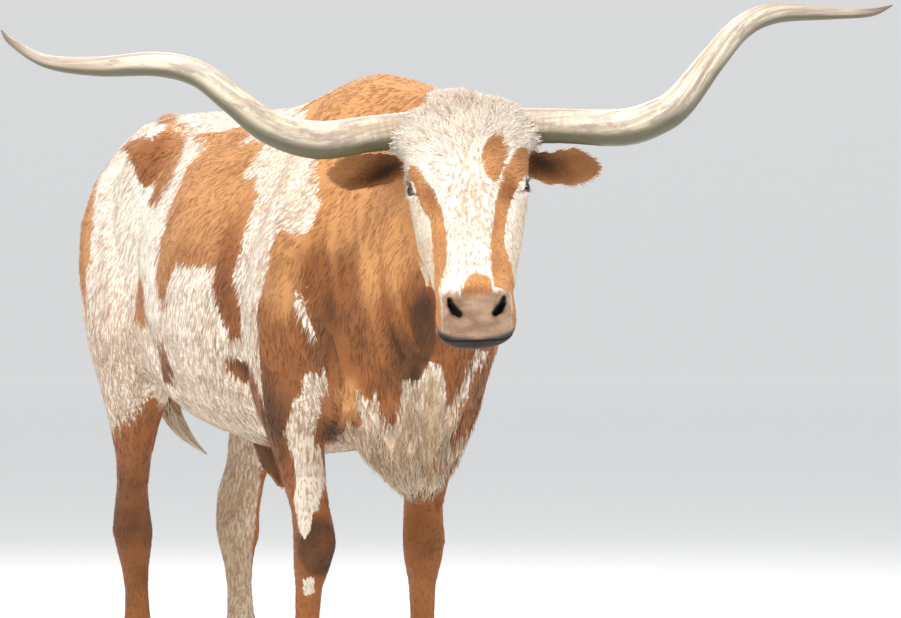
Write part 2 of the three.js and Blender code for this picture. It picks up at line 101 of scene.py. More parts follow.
FLOOR_RADIUS = 46
CURVE_RADIUS = 16
CURVE_STEPS = 12
floor_bm = bmesh.new()
bmesh.ops.create_circle(floor_bm, cap_ends=True, segments=128, radius=FLOOR_RADIUS)
rim = [e for e in floor_bm.edges if e.is_boundary]
rim_reach = FLOOR_RADIUS
for k in range(1, CURVE_STEPS + 1):
    grown = bmesh.ops.extrude_edge_only(floor_bm, edges=rim)["geom"]
    rim = [g for g in grown if isinstance(g, bmesh.types.BMEdge)]
    turn = math.radians(90 / CURVE_STEPS * k)
    new_reach = FLOOR_RADIUS + CURVE_RADIUS * math.sin(turn)
    for v in {v for e in rim for v in e.verts}:
        v.co.x *= new_reach / rim_reach
        v.co.y *= new_reach / rim_reach
        v.co.z = CURVE_RADIUS * (1 - math.cos(turn))
    rim_reach = new_reach
bmesh.ops.recalc_face_normals(floor_bm, faces=floor_bm.faces)
floor_mesh = bpy.data.meshes.new("floor")
floor_bm.to_mesh(floor_mesh)
floor_bm.free()
floor_mesh.shade_smooth()
floor_paint = {"Base_Color": (0.80, 0.80, 0.79, 1), "Roughness": 0.9}
floor_glow = {"Emission_Color": (1, 1, 1, 1), "Emission_Strength": 0.26}
floor_mesh.materials.append(new_look("floor", **floor_paint, **floor_glow))
floor = place_object("floor", floor_mesh)

# Skin: a steer's hide lies close over bone, muscle and tendon, with loose folds at the neck and brisket. The
# solids of flesh are fused into one closed surface, smoothed by region and pressed in by the coat's depth, then
# given bones, muscles, folds, lids, nostrils and lips.
FLESH = ["head", "lower_jaw", "neck", "trunk", "sheath", "ear_right", "ear_left", "tail"]
FLESH += [f"{a}leg_{b}_{c}" for a in ("fore", "hind") for b in ("right", "left") for c in ("upper", "lower")]
MIDLINE = -0.0315  # the body's middle plane, across
BACK = 0.1716  # the shoulders' rear, from which body places are measured
POLL = np.array([-0.020458, -0.884384, 1.425])  # top of the head, where head places start
HEAD_TURN = math.radians(18.6)
HEAD_SLOPE = math.radians(27)
HEAD_TILT = math.radians(2)
facing = Vector((-math.sin(HEAD_TURN), -math.cos(HEAD_TURN), 0))
face_out = facing * math.cos(HEAD_SLOPE) + Vector((0, 0, 1)) * math.sin(HEAD_SLOPE)
face_up = Vector((0, 0, 1)) * math.cos(HEAD_SLOPE) - facing * math.sin(HEAD_SLOPE)
tilt = Matrix.Rotation(HEAD_TILT, 3, facing)
HEAD = np.array(tilt @ Matrix((face_out.cross(face_up), face_out, face_up)).transposed())


def in_head(p):
    return (np.asarray(p) - POLL) @ HEAD


def from_head(p):
    return np.asarray(p) @ HEAD.T + POLL


CAMERA_PLACE = np.array(camera.location)
VIEW_IN = np.array([math.sin(CAMERA_TURN), math.cos(CAMERA_TURN), 0])
VIEW_RIGHT = np.array([math.cos(CAMERA_TURN), -math.sin(CAMERA_TURN), 0])


def in_view(p):
    """Where points fall in the camera's picture, in its pixels."""
    q = p - CAMERA_PLACE
    focal = LENS / SENSOR * PICTURE_WIDE / (q @ VIEW_IN)
    return np.stack([PICTURE_MIDDLE[0] + q @ VIEW_RIGHT * focal, PICTURE_MIDDLE[1] - q[:, 2] * focal], 1)


def past_nape(local):
    """How far points lie in front of the plane where the head meets the neck."""
    return 0.89 * (local[:, 1] + 0.175) - 0.45 * (local[:, 2] + 0.06)


def step(x, low, high):
    t = np.clip((x - low) / (high - low), 0, 1)
    return t * t * (3 - 2 * t)


def unit(v):
    return v / np.maximum(np.linalg.norm(v, axis=-1, keepdims=True), 1e-9)


def mesh_from(name, points, corners):
    mesh = bpy.data.meshes.new(name)
    mesh.vertices.add(len(points))
    mesh.vertices.foreach_set("co", np.ascontiguousarray(points, np.float32).ravel())
    count = corners.shape[1]
    mesh.loops.add(corners.size)
    mesh.loops.foreach_set("vertex_index", np.ascontiguousarray(corners, np.int32).ravel())
    mesh.polygons.add(len(corners))
    mesh.polygons.foreach_set("loop_start", np.arange(0, corners.size, count, dtype=np.int32))
    mesh.update(calc_edges=True)
    mesh.shade_smooth()
    return mesh


def points_of(mesh):
    flat = np.empty(len(mesh.vertices) * 3, np.float32)
    mesh.vertices.foreach_get("co", flat)
    return flat.reshape(-1, 3).astype(np.float64)


def edges_of(mesh):
    flat = np.empty(len(mesh.edges) * 2, np.int32)
    mesh.edges.foreach_get("vertices", flat)
    return flat.reshape(-1, 2)


def normals_of(mesh, points=None):
    if points is not None:
        mesh.vertices.foreach_set("co", points.astype(np.float32).ravel())
        mesh.update()
    flat = np.empty(len(mesh.vertices) * 3, np.float32)
    mesh.vertex_normals.foreach_get("vector", flat)
    return flat.reshape(-1, 3).astype(np.float64)


def relax(points, pairs, weight, rounds):
    n = len(points)
    links = np.maximum(np.bincount(pairs.ravel(), minlength=n), 1)
    share = (weight / links)[:, None]
    a, b = pairs[:, 0], pairs[:, 1]
    for _ in range(rounds):
        total = np.empty_like(points)
        for k in range(3):
            line = points[:, k]
            total[:, k] = np.bincount(a, line[b], n) + np.bincount(b, line[a], n)
        points = points + share * (total - links[:, None] * points)
    return points


def smooth_keeping_size(points, pairs, weight, rounds):
    first = relax(points, pairs, weight, rounds)
    lost = relax(points - first, pairs, weight, rounds)
    return first + lost


JOIN_GAP = 0.0004
VOXEL = 0.006
flesh_bm = bmesh.new()
for node in FLESH + ["eye_right", "eye_left"]:
    flesh_bm.from_mesh(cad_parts[node].data)
bmesh.ops.remove_doubles(flesh_bm, verts=flesh_bm.verts, dist=1e-5)
bmesh.ops.recalc_face_normals(flesh_bm, faces=flesh_bm.faces)
flesh_bm.normal_update()
for v in flesh_bm.verts:
    v.co += v.normal * JOIN_GAP
flesh_mesh = bpy.data.meshes.new("flesh")
flesh_bm.to_mesh(flesh_mesh)
flesh_bm.free()
flesh = place_object("flesh", flesh_mesh)
fuse = flesh.modifiers.new("fuse", "REMESH")
fuse.mode = "VOXEL"
fuse.voxel_size = VOXEL
fused = bpy.data.meshes.new_from_object(flesh.evaluated_get(bpy.context.evaluated_depsgraph_get()))
bpy.data.objects.remove(flesh)

points = points_of(fused)
local = in_head(points)
beyond_nape = past_nape(local)
head_share = step(beyond_nape, -0.05, 0.03)
ear_share = step(np.abs(local[:, 0]), 0.128, 0.15) * step(-local[:, 1], 0.03, 0.05)
ear_share = ear_share * (local[:, 2] > -0.2) * head_share
leg_share = 1 - step(points[:, 2], 0.52, 0.74)
tail_share = step(points[:, 1], 1.035, 1.06) * step(points[:, 2], 0.8, 0.9)
softening = 1 - 0.84 * head_share
for share, value in ((leg_share, 0.13), (tail_share, 0.15), (ear_share, 0.14)):
    softening = softening * (1 - share) + value * share
points = smooth_keeping_size(points, edges_of(fused), softening, 44)

# Long strokes that raise or sink the surface along a path. Body paths run in metres from the midline, the
# shoulders' rear and the floor, and are made on both sides unless they are named for one.
BODY_STROKES = [
    ([(0.10, -0.60, 1.47), (0.17, -0.64, 1.30), (0.215, -0.66, 1.10)], 0.035, 0.007),  # blade's ridge
    ([(0.13, -0.44, 1.45), (0.22, -0.42, 1.25), (0.26, -0.36, 1.00), (0.25, -0.32, 0.80)], 0.045, -0.013),
    ([(0.17, -0.52, 1.28), (0.21, -0.50, 1.10), (0.23, -0.46, 0.95)], 0.05, 0.008),  # behind the blade's ridge
    ([(0.22, -0.66, 1.06), (0.22, -0.62, 0.97), (0.22, -0.54, 0.90)], 0.04, 0.009),  # point of the shoulder
    ([(0.17, -0.71, 1.30), (0.19, -0.74, 1.15), (0.18, -0.76, 1.00), (0.13, -0.80, 0.86)], 0.035, -0.011),
    ([(0.22, -0.48, 0.86), (0.22, -0.42, 0.80), (0.20, -0.40, 0.72)], 0.04, 0.008),  # elbow
    ([(0.12, -0.45, 0.78), (0.20, -0.40, 0.80), (0.26, -0.30, 0.84)], 0.03, -0.009),
    ([(0.21, 0.42, 1.42), (0.245, 0.42, 1.38)], 0.05, 0.012),  # hook bone
    ([(0.22, 0.50, 1.36), (0.20, 0.64, 1.33), (0.15, 0.78, 1.31)], 0.035, -0.006),
    ([(0.13, 0.82, 1.30), (0.10, 0.85, 1.27)], 0.04, 0.010),  # pin bone
    ([(0.09, 0.79, 1.42), (0.12, 0.84, 1.32)], 0.035, -0.010),
    ([(0.27, 0.28, 1.34), (0.28, 0.34, 1.22), (0.27, 0.36, 1.10)], 0.06, -0.012),  # hollow of the flank
    ([(0.22, 0.46, 1.30), (0.25, 0.50, 1.12), (0.24, 0.47, 0.95)], 0.05, 0.010),  # front of the thigh
    ([(0.22, 0.62, 1.28), (0.25, 0.68, 1.12), (0.24, 0.70, 0.95), (0.21, 0.70, 0.78)], 0.03, -0.008),
    ([(0.16, 0.80, 1.22), (0.19, 0.80, 1.05), (0.19, 0.77, 0.88), (0.17, 0.76, 0.74)], 0.04, 0.008),
    ([(0.22, 0.40, 0.93), (0.20, 0.42, 0.86)], 0.045, 0.010),  # stifle
    ([(0.20, 0.36, 0.98), (0.22, 0.30, 0.86), (0.21, 0.20, 0.76)], 0.03, 0.008),  # fold from stifle to belly
    ([(0.23, 0.28, 0.96), (0.25, 0.22, 0.88)], 0.04, -0.007),
    ([(0.11, -0.80, 1.25), (0.10, -0.82, 1.05), (0.07, -0.83, 0.90)], 0.024, -0.008),  # groove of the neck
    ([(0.045, -0.80, 0.66), (0.04, -0.86, 0.78), (0.035, -0.90, 0.94)], 0.014, 0.007),  # brisket folds
    ([(0.085, -0.74, 0.64), (0.09, -0.79, 0.76), (0.085, -0.83, 0.90)], 0.016, 0.006),
    ([(0.065, -0.78, 0.65), (0.065, -0.83, 0.78), (0.06, -0.86, 0.92)], 0.010, -0.007),
    ([(0.0, -0.84, 0.62), (0.0, -0.86, 0.76), (0.0, -0.90, 0.94)], 0.012, -0.006),
    ([(0.06, -0.30, 1.49), (0.06, 0.0, 1.46), (0.06, 0.40, 1.47)], 0.03, -0.004),  # beside the spine
]
for k in range(7):  # ribs
    y = -0.20 + 0.078 * k
    path = [(0.25, y, 1.24), (0.30, y + 0.06, 1.02), (0.27, y + 0.05, 0.82)]
    BODY_STROKES.append((path, 0.015, 0.0028))
for k in range(5):  # creases of the turned neck
    x = -0.095 - 0.012 * k
    y = -0.76 - 0.030 * k
    path = [("right", x, y, 1.32), ("right", x - 0.02, y - 0.01, 1.15), ("right", x, y, 0.98)]
    BODY_STROKES.append((path, 0.011, 0.0048))
LEG_STROKES = [
    ("fore", [(0.138, -0.475, 0.62), (0.141, -0.468, 0.45), (0.141, -0.480, 0.30), (0.14, -0.470, 0.19)],
     0.010, 0.004),
    ("fore", [(0.170, -0.50, 0.40), (0.168, -0.498, 0.24)], 0.008, -0.003),
    ("fore", [(0.112, -0.50, 0.40), (0.114, -0.498, 0.24)], 0.008, -0.003),
    ("fore", [(0.13, -0.555, 0.49), (0.155, -0.555, 0.49)], 0.016, 0.004),
    ("fore", [(0.13, -0.555, 0.42), (0.155, -0.555, 0.42)], 0.012, 0.003),
    ("fore", [(0.12, -0.56, 0.455), (0.165, -0.56, 0.455)], 0.007, -0.003),
    ("fore", [(0.20, -0.60, 0.82), (0.175, -0.55, 0.68), (0.165, -0.53, 0.55)], 0.020, 0.005),
    ("fore", [(0.21, -0.52, 0.80), (0.185, -0.50, 0.68), (0.17, -0.49, 0.56)], 0.012, -0.005),
    ("hind", [(0.150, 0.80, 0.60), (0.150, 0.795, 0.50), (0.150, 0.78, 0.43)], 0.012, 0.006),
    ("hind", [(0.190, 0.755, 0.62), (0.190, 0.755, 0.50)], 0.012, -0.006),
    ("hind", [(0.110, 0.755, 0.62), (0.112, 0.755, 0.50)], 0.012, -0.006),
    ("hind", [(0.145, 0.745, 0.34), (0.142, 0.740, 0.24)], 0.010, 0.004),
    ("hind", [(0.170, 0.71, 0.36), (0.168, 0.705, 0.24)], 0.008, -0.003),
    ("hind", [(0.198, 0.72, 0.43), (0.190, 0.70, 0.40)], 0.014, 0.004),
    ("hind", [(0.12, 0.665, 0.44), (0.17, 0.665, 0.44)], 0.012, 0.003),
]


def stroke(points, normals, path, reach, rise):
    """Moves points near a path along their normals, most on the path and less with distance from it."""
    low = path.min(0) - 2.4 * reach
    high = path.max(0) + 2.4 * reach
    near = np.flatnonzero(np.all((points > low) & (points < high), axis=1))
    if not len(near):
        return
    p = points[near]
    best = np.full(len(near), 9.0)
    for a, b in zip(path[:-1], path[1:]):
        run = b - a
        t = np.clip(((p - a) @ run) / max(run @ run, 1e-12), 0, 1)
        best = np.minimum(best, np.linalg.norm(p - a - t[:, None] * run, axis=1))
    points[near] += normals[near] * (rise * np.exp(-((best / reach) ** 2)))[:, None]


STANCE = {  # back above and below, the bent joint's shift back and its height, inward, outward, turn
    "foreleg_right": (0, 0, -42, 478, 8, 0, 0),
    "foreleg_left": (-28, 0, 0, 447, 6, 28, 0),
    "hindleg_right": (20, 20, 0, 425, 10, 0, 16),
    "hindleg_left": (-8, 8, 0, 425, 20, 0, 16),
}


def stand(name, z):
    """How far a leg's bones are moved across and back at a height, and how far they are turned."""
    upper, lower, bend, joint, inward, outward, turn = STANCE[name]
    z = np.asarray(z, float) * 1000
    side = -1 if name.endswith("right") else 1
    share = step(z, 520, 860)
    sideways = outward * share * (1 - step(z, 900, 1200))
    tuck = inward * (1 - share) * (0.4 + 0.6 * np.exp(-(((z - joint) / 170) ** 2)))
    back = lower * (1 - share) + upper * share + bend * np.exp(-(((z - joint) / 95) ** 2))
    return side * (sideways - tuck) / 1000, back / 1000, np.radians(-side * turn * (1 - share))


BODY_GAIN = 1.45
normals = normals_of(fused, points)
for path, reach, rise in BODY_STROKES:
    one_side = path[0][0] == "right"
    for side in (-1,) if one_side else (-1, 1):
        rows = np.array([row[1:] if one_side else row for row in path], float)
        rows[:, 0] = rows[:, 0] * (1 if one_side else side) + MIDLINE
        rows[:, 1] += BACK
        stroke(points, normals, rows, reach, BODY_GAIN * rise)
for kind, path, reach, rise in LEG_STROKES:
    for word, side in (("right", -1), ("left", 1)):
        rows = np.array(path, float)
        across, back, _ = stand(f"{kind}leg_{word}", rows[:, 2])
        rows[:, 0] = side * rows[:, 0] + across + MIDLINE
        rows[:, 1] += back + BACK
        stroke(points, normals, rows, reach, rise)
local = in_head(points)
head_front = step(local[:, 1] + 0.26, -0.03, 0.02) * (local[:, 2] > -0.60) * (beyond_nape > 0)
# Folds of the neck and chest as the camera sees them: paths and reach in its picture's pixels, rise in metres.
VIEW_STROKES = [
    ([(358, 388), (371, 415), (386, 441), (400, 470), (409, 494)], 3.0, 0.008),
    ([(352, 428), (366, 450), (381, 470), (396, 488)], 7.0, -0.009),
    ([(487, 352), (475, 385), (462, 406), (449, 427), (438, 446), (429, 468), (423, 490)], 3.0, 0.008),
    ([(472, 415), (458, 440), (446, 462)], 6.0, -0.007),
    ([(435, 362), (437, 400), (431, 440), (421, 470)], 6.0, 0.006),
    ([(415, 372), (412, 410), (410, 440)], 6.0, -0.006),
    ([(326, 338), (334, 365), (337, 392), (335, 420), (332, 442)], 3.6, -0.011),
    ([(345, 360), (352, 390), (350, 412)], 8.0, 0.006),
    ([(397, 205), (392, 255), (400, 310), (418, 350)], 4.0, 0.005),
    ([(386, 205), (380, 255), (386, 315), (402, 358)], 4.0, -0.006),
    ([(370, 200), (364, 250), (368, 310), (382, 360)], 4.5, 0.005),
    ([(352, 198), (346, 250), (350, 300), (362, 350)], 5.0, -0.006),
    ([(334, 205), (330, 250), (334, 290), (344, 335)], 5.0, 0.005),
    ([(318, 240), (312, 262), (306, 285), (303, 300)], 5.0, -0.006),
    ([(290, 250), (284, 285), (288, 330), (300, 360)], 9.0, 0.008),
]


def view_folds(seen, widen=1.0, gain=1.0):
    """How far the folds drawn in the camera's view raise points that are seen at these pixels."""
    total = np.zeros(len(seen))
    upright = np.tile([0.0, 0.0, 1.0], (len(seen), 1))
    for path, reach, rise in VIEW_STROKES:
        sheet = np.column_stack([seen, np.zeros(len(seen))])
        flat_path = np.column_stack([path, np.zeros(len(path))])
        stroke(sheet, upright, flat_path, widen * reach, gain * rise)
        total += sheet[:, 2]
    return total


to_camera = unit(CAMERA_PLACE - points)
facing_view = step((normals * to_camera).sum(1), 0.05, 0.35)
facing_view = facing_view * (points[:, 1] < -0.30) * (in_head(points)[:, 2] < -0.02)
folded = view_folds(in_view(points)) * facing_view * (1 - head_front)
points = points + normals * folded[:, None]
HEAD_STROKES = [  # across the face, out of it and up it, for one side, in metres
    ([(0.098, -0.008, -0.165), (0.112, -0.014, -0.190), (0.108, -0.020, -0.215)], 0.014, 0.007),  # brow
    ([(0.030, 0.010, -0.09), (0.045, 0.010, -0.15), (0.050, 0.006, -0.21)], 0.030, 0.004),
    ([(0.0, 0.01, -0.15), (0.0, 0.005, -0.25)], 0.022, -0.004),  # dish between the eyes
    ([(0.036, 0.000, -0.26), (0.034, 0.000, -0.34), (0.036, 0.0, -0.42)], 0.012, 0.004),  # nasal bones
    ([(0.062, -0.02, -0.26), (0.060, -0.02, -0.34), (0.060, -0.02, -0.41)], 0.018, -0.006),
    ([(0.112, -0.06, -0.245), (0.098, -0.062, -0.30), (0.086, -0.066, -0.36), (0.078, -0.07, -0.41)],
     0.012, 0.006),  # cheekbone
    ([(0.105, -0.10, -0.28), (0.090, -0.11, -0.34), (0.078, -0.11, -0.40)], 0.022, -0.008),  # under it
    ([(0.110, -0.16, -0.20), (0.108, -0.18, -0.25), (0.095, -0.17, -0.30)], 0.045, 0.007),  # chewing muscle
    ([(0.080, -0.235, -0.22), (0.075, -0.225, -0.28), (0.066, -0.185, -0.35)], 0.014, 0.005),  # edge of the jaw
    ([(0.030, -0.25, -0.24), (0.028, -0.22, -0.32), (0.026, -0.18, -0.40)], 0.022, -0.008),
    ([(0.122, -0.07, -0.125), (0.118, -0.09, -0.155)], 0.022, -0.008),  # hollow before the ear
    ([(0.066, -0.014, -0.462), (0.066, -0.030, -0.495)], 0.016, 0.006),  # wing of the nostril
    ([(0.030, -0.012, -0.455), (0.0, -0.006, -0.448)], 0.014, 0.003),
    ([(0.062, -0.070, -0.505), (0.040, -0.066, -0.528), (0.0, -0.066, -0.536)], 0.014, 0.005),  # upper lip
    ([(0.0, -0.02, -0.495), (0.0, -0.045, -0.520), (0.0, -0.075, -0.538)], 0.0055, -0.0075),  # lip's groove
    ([(0.036, -0.040, -0.512), (0.050, -0.055, -0.512)], 0.016, 0.0045),
    ([(0.0, -0.012, -0.478), (0.0, -0.016, -0.488)], 0.020, 0.004),
    ([(0.050, -0.118, -0.505), (0.030, -0.112, -0.520), (0.0, -0.110, -0.525)], 0.014, 0.007),  # lower lip
    ([(0.030, -0.145, -0.495), (0.0, -0.145, -0.500)], 0.022, 0.006),  # chin
    ([(0.055, -0.155, -0.43), (0.05, -0.150, -0.46)], 0.018, -0.007),
]
head_normals = normals @ HEAD
local = in_head(points)
ear_out = np.abs(local[:, 0])
on_ear = step(ear_out, 0.150, 0.175) * (local[:, 1] < -0.03) * (local[:, 1] > -0.20)
on_ear = on_ear * (local[:, 2] > -0.20) * (beyond_nape > 0)
EAR_GROWTH = 0.30
for side, lift in ((1, 0.0), (-1, 0.016)):  # the left ear's tip is carried higher
    mine = on_ear * (local[:, 0] * side > 0)
    chosen = mine > 0.5
    line = np.polyfit(ear_out[chosen], local[chosen, 2], 1)
    middle = np.polyval(line, ear_out)
    grow = EAR_GROWTH * step(ear_out, 0.20, 0.262) * mine
    local[:, 2] += (local[:, 2] - middle) * grow + lift * step(ear_out, 0.165, 0.265) * mine
for path, reach, rise in HEAD_STROKES:
    for side in (-1, 1):
        rows = np.array(path, float) * (side, 1, 1)
        central = np.all(rows[:, 0] == 0)
        stroke(local, head_normals, rows, reach, rise * (0.5 if central else 1))
crown_line = np.array([(-0.01, -0.03, -0.008), (-0.06, -0.03, -0.018), (-0.10, -0.04, -0.030)])
stroke(local, head_normals, crown_line, 0.034, 0.009)
points = from_head(local)

coat_depth = 0.005 - 0.003 * head_share
thin_coat = np.maximum(ear_share, tail_share)
for share, value in ((leg_share, 0.0025), (thin_coat, 0.001)):
    coat_depth = coat_depth * (1 - share) + value * share
points = points - normals * coat_depth[:, None]
fused.vertices.foreach_set("co", points.astype(np.float32).ravel())

# The head is divided finer, the eyes, nostrils and lips finer again, before they are cut in.
EYES = {side: np.array([side * 0.106, -0.036, -0.210]) for side in (1, -1)}
EYE_HALF_LONG = 0.0195
NOSTRIL = np.array([
    (0.0560, -0.020, -0.473), (0.0535, -0.018, -0.486), (0.0460, -0.021, -0.498), (0.0370, -0.027, -0.504),
])
NOSTRIL_HALF = np.array([0.0038, 0.0065, 0.0086, 0.0062])
NOSTRIL_AXIS = np.array([0, 0.94, -0.34])
MOUTH = np.array([0, -0.090, -0.530])
MOUTH_AXIS = np.array([0, -0.9439, -0.3304])


def near_feature(local, reach):
    near = np.zeros(len(local), bool)
    for side in (-1, 1):
        near |= np.linalg.norm(local - EYES[side], axis=1) < reach + 0.012
        near |= np.linalg.norm(local - NOSTRIL[1:3].mean(0) * (side, 1, 1), axis=1) < reach - 0.004
    flat = (local - MOUTH) @ MOUTH_AXIS
    near |= (np.abs(flat) < 0.28 * reach) & (local[:, 2] < -0.42) & (np.abs(local[:, 0]) < 0.1)
    return near


def eye_axes(side):
    """An eye's outlook, the line from corner to corner and the line over it."""
    look = unit(np.array([side * 0.90, 0.42, 0.06]))
    along = np.array([side * -0.25, 0.60, -0.76])
    along = unit(along - look * (along @ look))
    over = np.cross(look, along) * side
    return look, along, over if over[2] > 0 else -over


def lid_opening(local, side):
    """How far each point lies within the opening between the lids, and whether it is near the eye at all."""
    look, along, over = eye_axes(side)
    q = local - EYES[side]
    x = (q @ along) / EYE_HALF_LONG
    y = (q @ over) / np.where(q @ over > 0, 0.0118, 0.0092)
    close = (np.linalg.norm(q, axis=1) < 0.046) & (q @ look > 0)
    return (1 - x * x) - np.abs(y), close


def nostril_gap(local, side):
    """Each point's distance from a nostril's line, in the nostril's own half widths."""
    path = NOSTRIL * (side, 1, 1)
    best = np.full(len(local), 9.0)
    for k in range(3):
        a, b = path[k], path[k + 1]
        run = b - a
        t = np.clip(((local - a) @ run) / (run @ run), 0, 1)
        gap = local - a - t[:, None] * run
        gap = gap - (gap @ NOSTRIL_AXIS)[:, None] * NOSTRIL_AXIS
        half = NOSTRIL_HALF[k] * (1 - t) + NOSTRIL_HALF[k + 1] * t
        best = np.minimum(best, np.linalg.norm(gap, axis=1) / half)
    here = (local[:, 2] < -0.44) & (local[:, 1] > -0.09) & (local[:, 0] * side > 0)
    return np.where(here, best, 9.0)


skin_bm = bmesh.new()
skin_bm.from_mesh(fused)
for reach in (None, 0.042, 0.036):
    cos = np.array([v.co for v in skin_bm.verts])
    local = in_head(cos)
    if reach is None:
        wanted = past_nape(local) > 0
    else:
        wanted = near_feature(local, reach)
    edges = [e for e in skin_bm.edges if wanted[e.verts[0].index] and wanted[e.verts[1].index]]
    bmesh.ops.subdivide_edges(skin_bm, edges=edges, cuts=1, use_grid_fill=True)
    skin_bm.verts.index_update()
bmesh.ops.triangulate(skin_bm, faces=skin_bm.faces)
skin_mesh = bpy.data.meshes.new("skin")
skin_bm.to_mesh(skin_mesh)
skin_bm.free()
points = points_of(skin_mesh)
pairs = edges_of(skin_mesh)
local = in_head(points)
fine = near_feature(local, 0.05).astype(float)
points = relax(points, pairs, 0.5 * fine + 0.02, 6)
normals = normals_of(skin_mesh, points)
local = in_head(points)
head_normals = normals @ HEAD
for side in (-1, 1):
    centre = EYES[side]
    look, along, over = eye_axes(side)
    slot, close = lid_opening(local, side)
    q = local - centre
    r = np.linalg.norm(q, axis=1)
    inside = step(slot, -0.03, 0.10) * close
    upper = q @ over > 0
    lid = step(-slot, -0.02, 0.10) * (1 - step(-slot, 1.3, 3.0)) * close
    thick = np.where(upper, 0.0257, 0.0246) + 0.0008 * np.exp(-((slot / 0.25) ** 2))
    crease_at = np.where(upper, 0.95, 0.8)
    crease = np.where(upper, 0.0024, 0.0013) * np.exp(-(((-slot - crease_at) / 0.26) ** 2)) * close
    goal = np.maximum(r, thick) * (lid > 0) + r * (lid <= 0)
    new_r = r + (goal - r) * lid - crease
    new_r = new_r * (1 - inside) + 0.0188 * inside
    moved = centre + q * (new_r / np.maximum(r, 1e-6))[:, None]
    local = np.where(close[:, None], moved, local)
    tear = np.array([centre + look * 0.018 + along * 0.021, centre + look * 0.010 + along * 0.045])
    stroke(local, head_normals, tear, 0.0035, -0.0022)

    best = nostril_gap(local, side)
    pit = np.sqrt(np.clip(1 - best * best, 0, 1))
    rim_up = np.exp(-(((best - 1.45) / 0.42) ** 2))
    local = local + np.array([side * 0.10, -0.94, 0.33]) * (pit * 0.021)[:, None]
    local = local + head_normals * (rim_up * 0.0030)[:, None]
flat = (local - MOUTH) @ MOUTH_AXIS
lips = step(-local[:, 2], 0.412, 0.450) * np.exp(-((flat / 0.0030) ** 2)) * (local[:, 1] > -0.16)
local = local - head_normals * (lips * 0.0065)[:, None]
points = from_head(local)
points = relax(points, pairs, 0.25 * fine, 2)
skin_mesh.vertices.foreach_set("co", points.astype(np.float32).ravel())
skin_mesh.update()
skin = place_object("skin", skin_mesh)
SKIN_TRIANGLES = 186000
group = skin.vertex_groups.new(name="plain")
local = in_head(points)
plain = past_nape(local) < -0.01
small = (points[:, 2] < 0.5) | (points[:, 1] > 1.04)
for chosen, share in ((plain & ~small, 1.0), (small, 0.6), (~plain, 0.3), (near_feature(local, 0.036), 0.05)):
    group.add(np.flatnonzero(chosen).tolist(), share, "REPLACE")
thin = skin.modifiers.new("thin", "DECIMATE")
thin.ratio = min(1.0, SKIN_TRIANGLES / len(skin_mesh.polygons))
thin.vertex_group = "plain"
hide_mesh = bpy.data.meshes.new_from_object(skin.evaluated_get(bpy.context.evaluated_depsgraph_get()))
skin.modifiers.clear()
skin.vertex_groups.clear()
skin.data = hide_mesh
skin.data.name = "skin"
hide_mesh.shade_smooth()
hide_mesh.update()
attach(skin, "root")
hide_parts(*FLESH)

# Markings of the coat: white hair with red-brown patches and roan flecks, and bare skin at nose, lips and lids.
# Each point of the skin gets how far inside a brown patch, how roan, deep, creamy and bare it is, with painted
# shade and highlight in the depth, cream and dark. Patches in view are outlined in the picture's pixels, the
# others as ovals on the animal's side.
BROWN = [  # in view: rump's edge, tail head, hip, barrel, spots, forehand with the neck, flank, legs
    [(118, 142), (104, 167), (96, 182), (90, 213), (86, 251), (84, 299), (86, 340), (60, 340), (60, 142)],
    [(153, 124), (168, 108), (184, 118), (172, 122)],
    [(126, 142), (152, 135), (194, 126), (182, 137), (184, 144), (177, 156), (175, 179), (167, 192), (156, 198),
     (150, 202), (144, 194), (138, 182), (136, 169), (131, 160), (126, 152)],
    [(232, 123), (263, 146), (259, 163), (253, 182), (251, 202), (248, 223), (242, 244), (238, 259), (236, 270),
     (239, 309), (240, 336), (234, 341), (228, 326), (222, 316), (218, 297), (218, 270), (220, 253), (215, 253),
     (211, 263), (203, 272), (197, 269), (194, 280), (188, 267), (185, 255), (182, 253), (177, 272), (173, 270),
     (167, 286), (164, 297), (160, 299), (158, 284), (154, 265), (156, 244), (161, 228), (167, 213), (179, 192),
     (184, 179), (194, 150), (202, 150), (213, 138), (225, 129)],
    [(144, 270), (145, 290), (142, 309), (137, 320), (135, 309), (136, 290), (140, 276)],
    [(290, 223), (297, 232), (301, 242), (309, 240), (313, 225), (326, 211), (330, 192), (328, 165), (300, 116),
     (360, 60), (560, 60), (560, 420), (500, 470), (450, 780), (400, 780), (404, 500), (340, 432), (325, 780),
     (290, 780), (270, 440), (262, 390), (260, 360), (258, 330), (261, 300), (268, 270), (274, 250), (282, 230)],
    [(160, 357), (168, 359), (170, 381), (171, 392), (166, 385), (160, 376)],
    [(227, 357), (235, 361), (251, 363), (260, 372), (264, 392), (255, 392), (246, 387), (244, 381), (235, 383),
     (226, 379)],
    [(105, 425), (110, 433), (117, 433), (123, 424), (134, 422), (138, 407), (137, 398), (145, 387), (152, 389),
     (175, 430), (165, 780), (95, 780)],
    [(240, 490), (246, 462), (252, 440), (262, 436), (270, 440), (272, 780), (250, 780), (246, 585), (241, 540)],
]
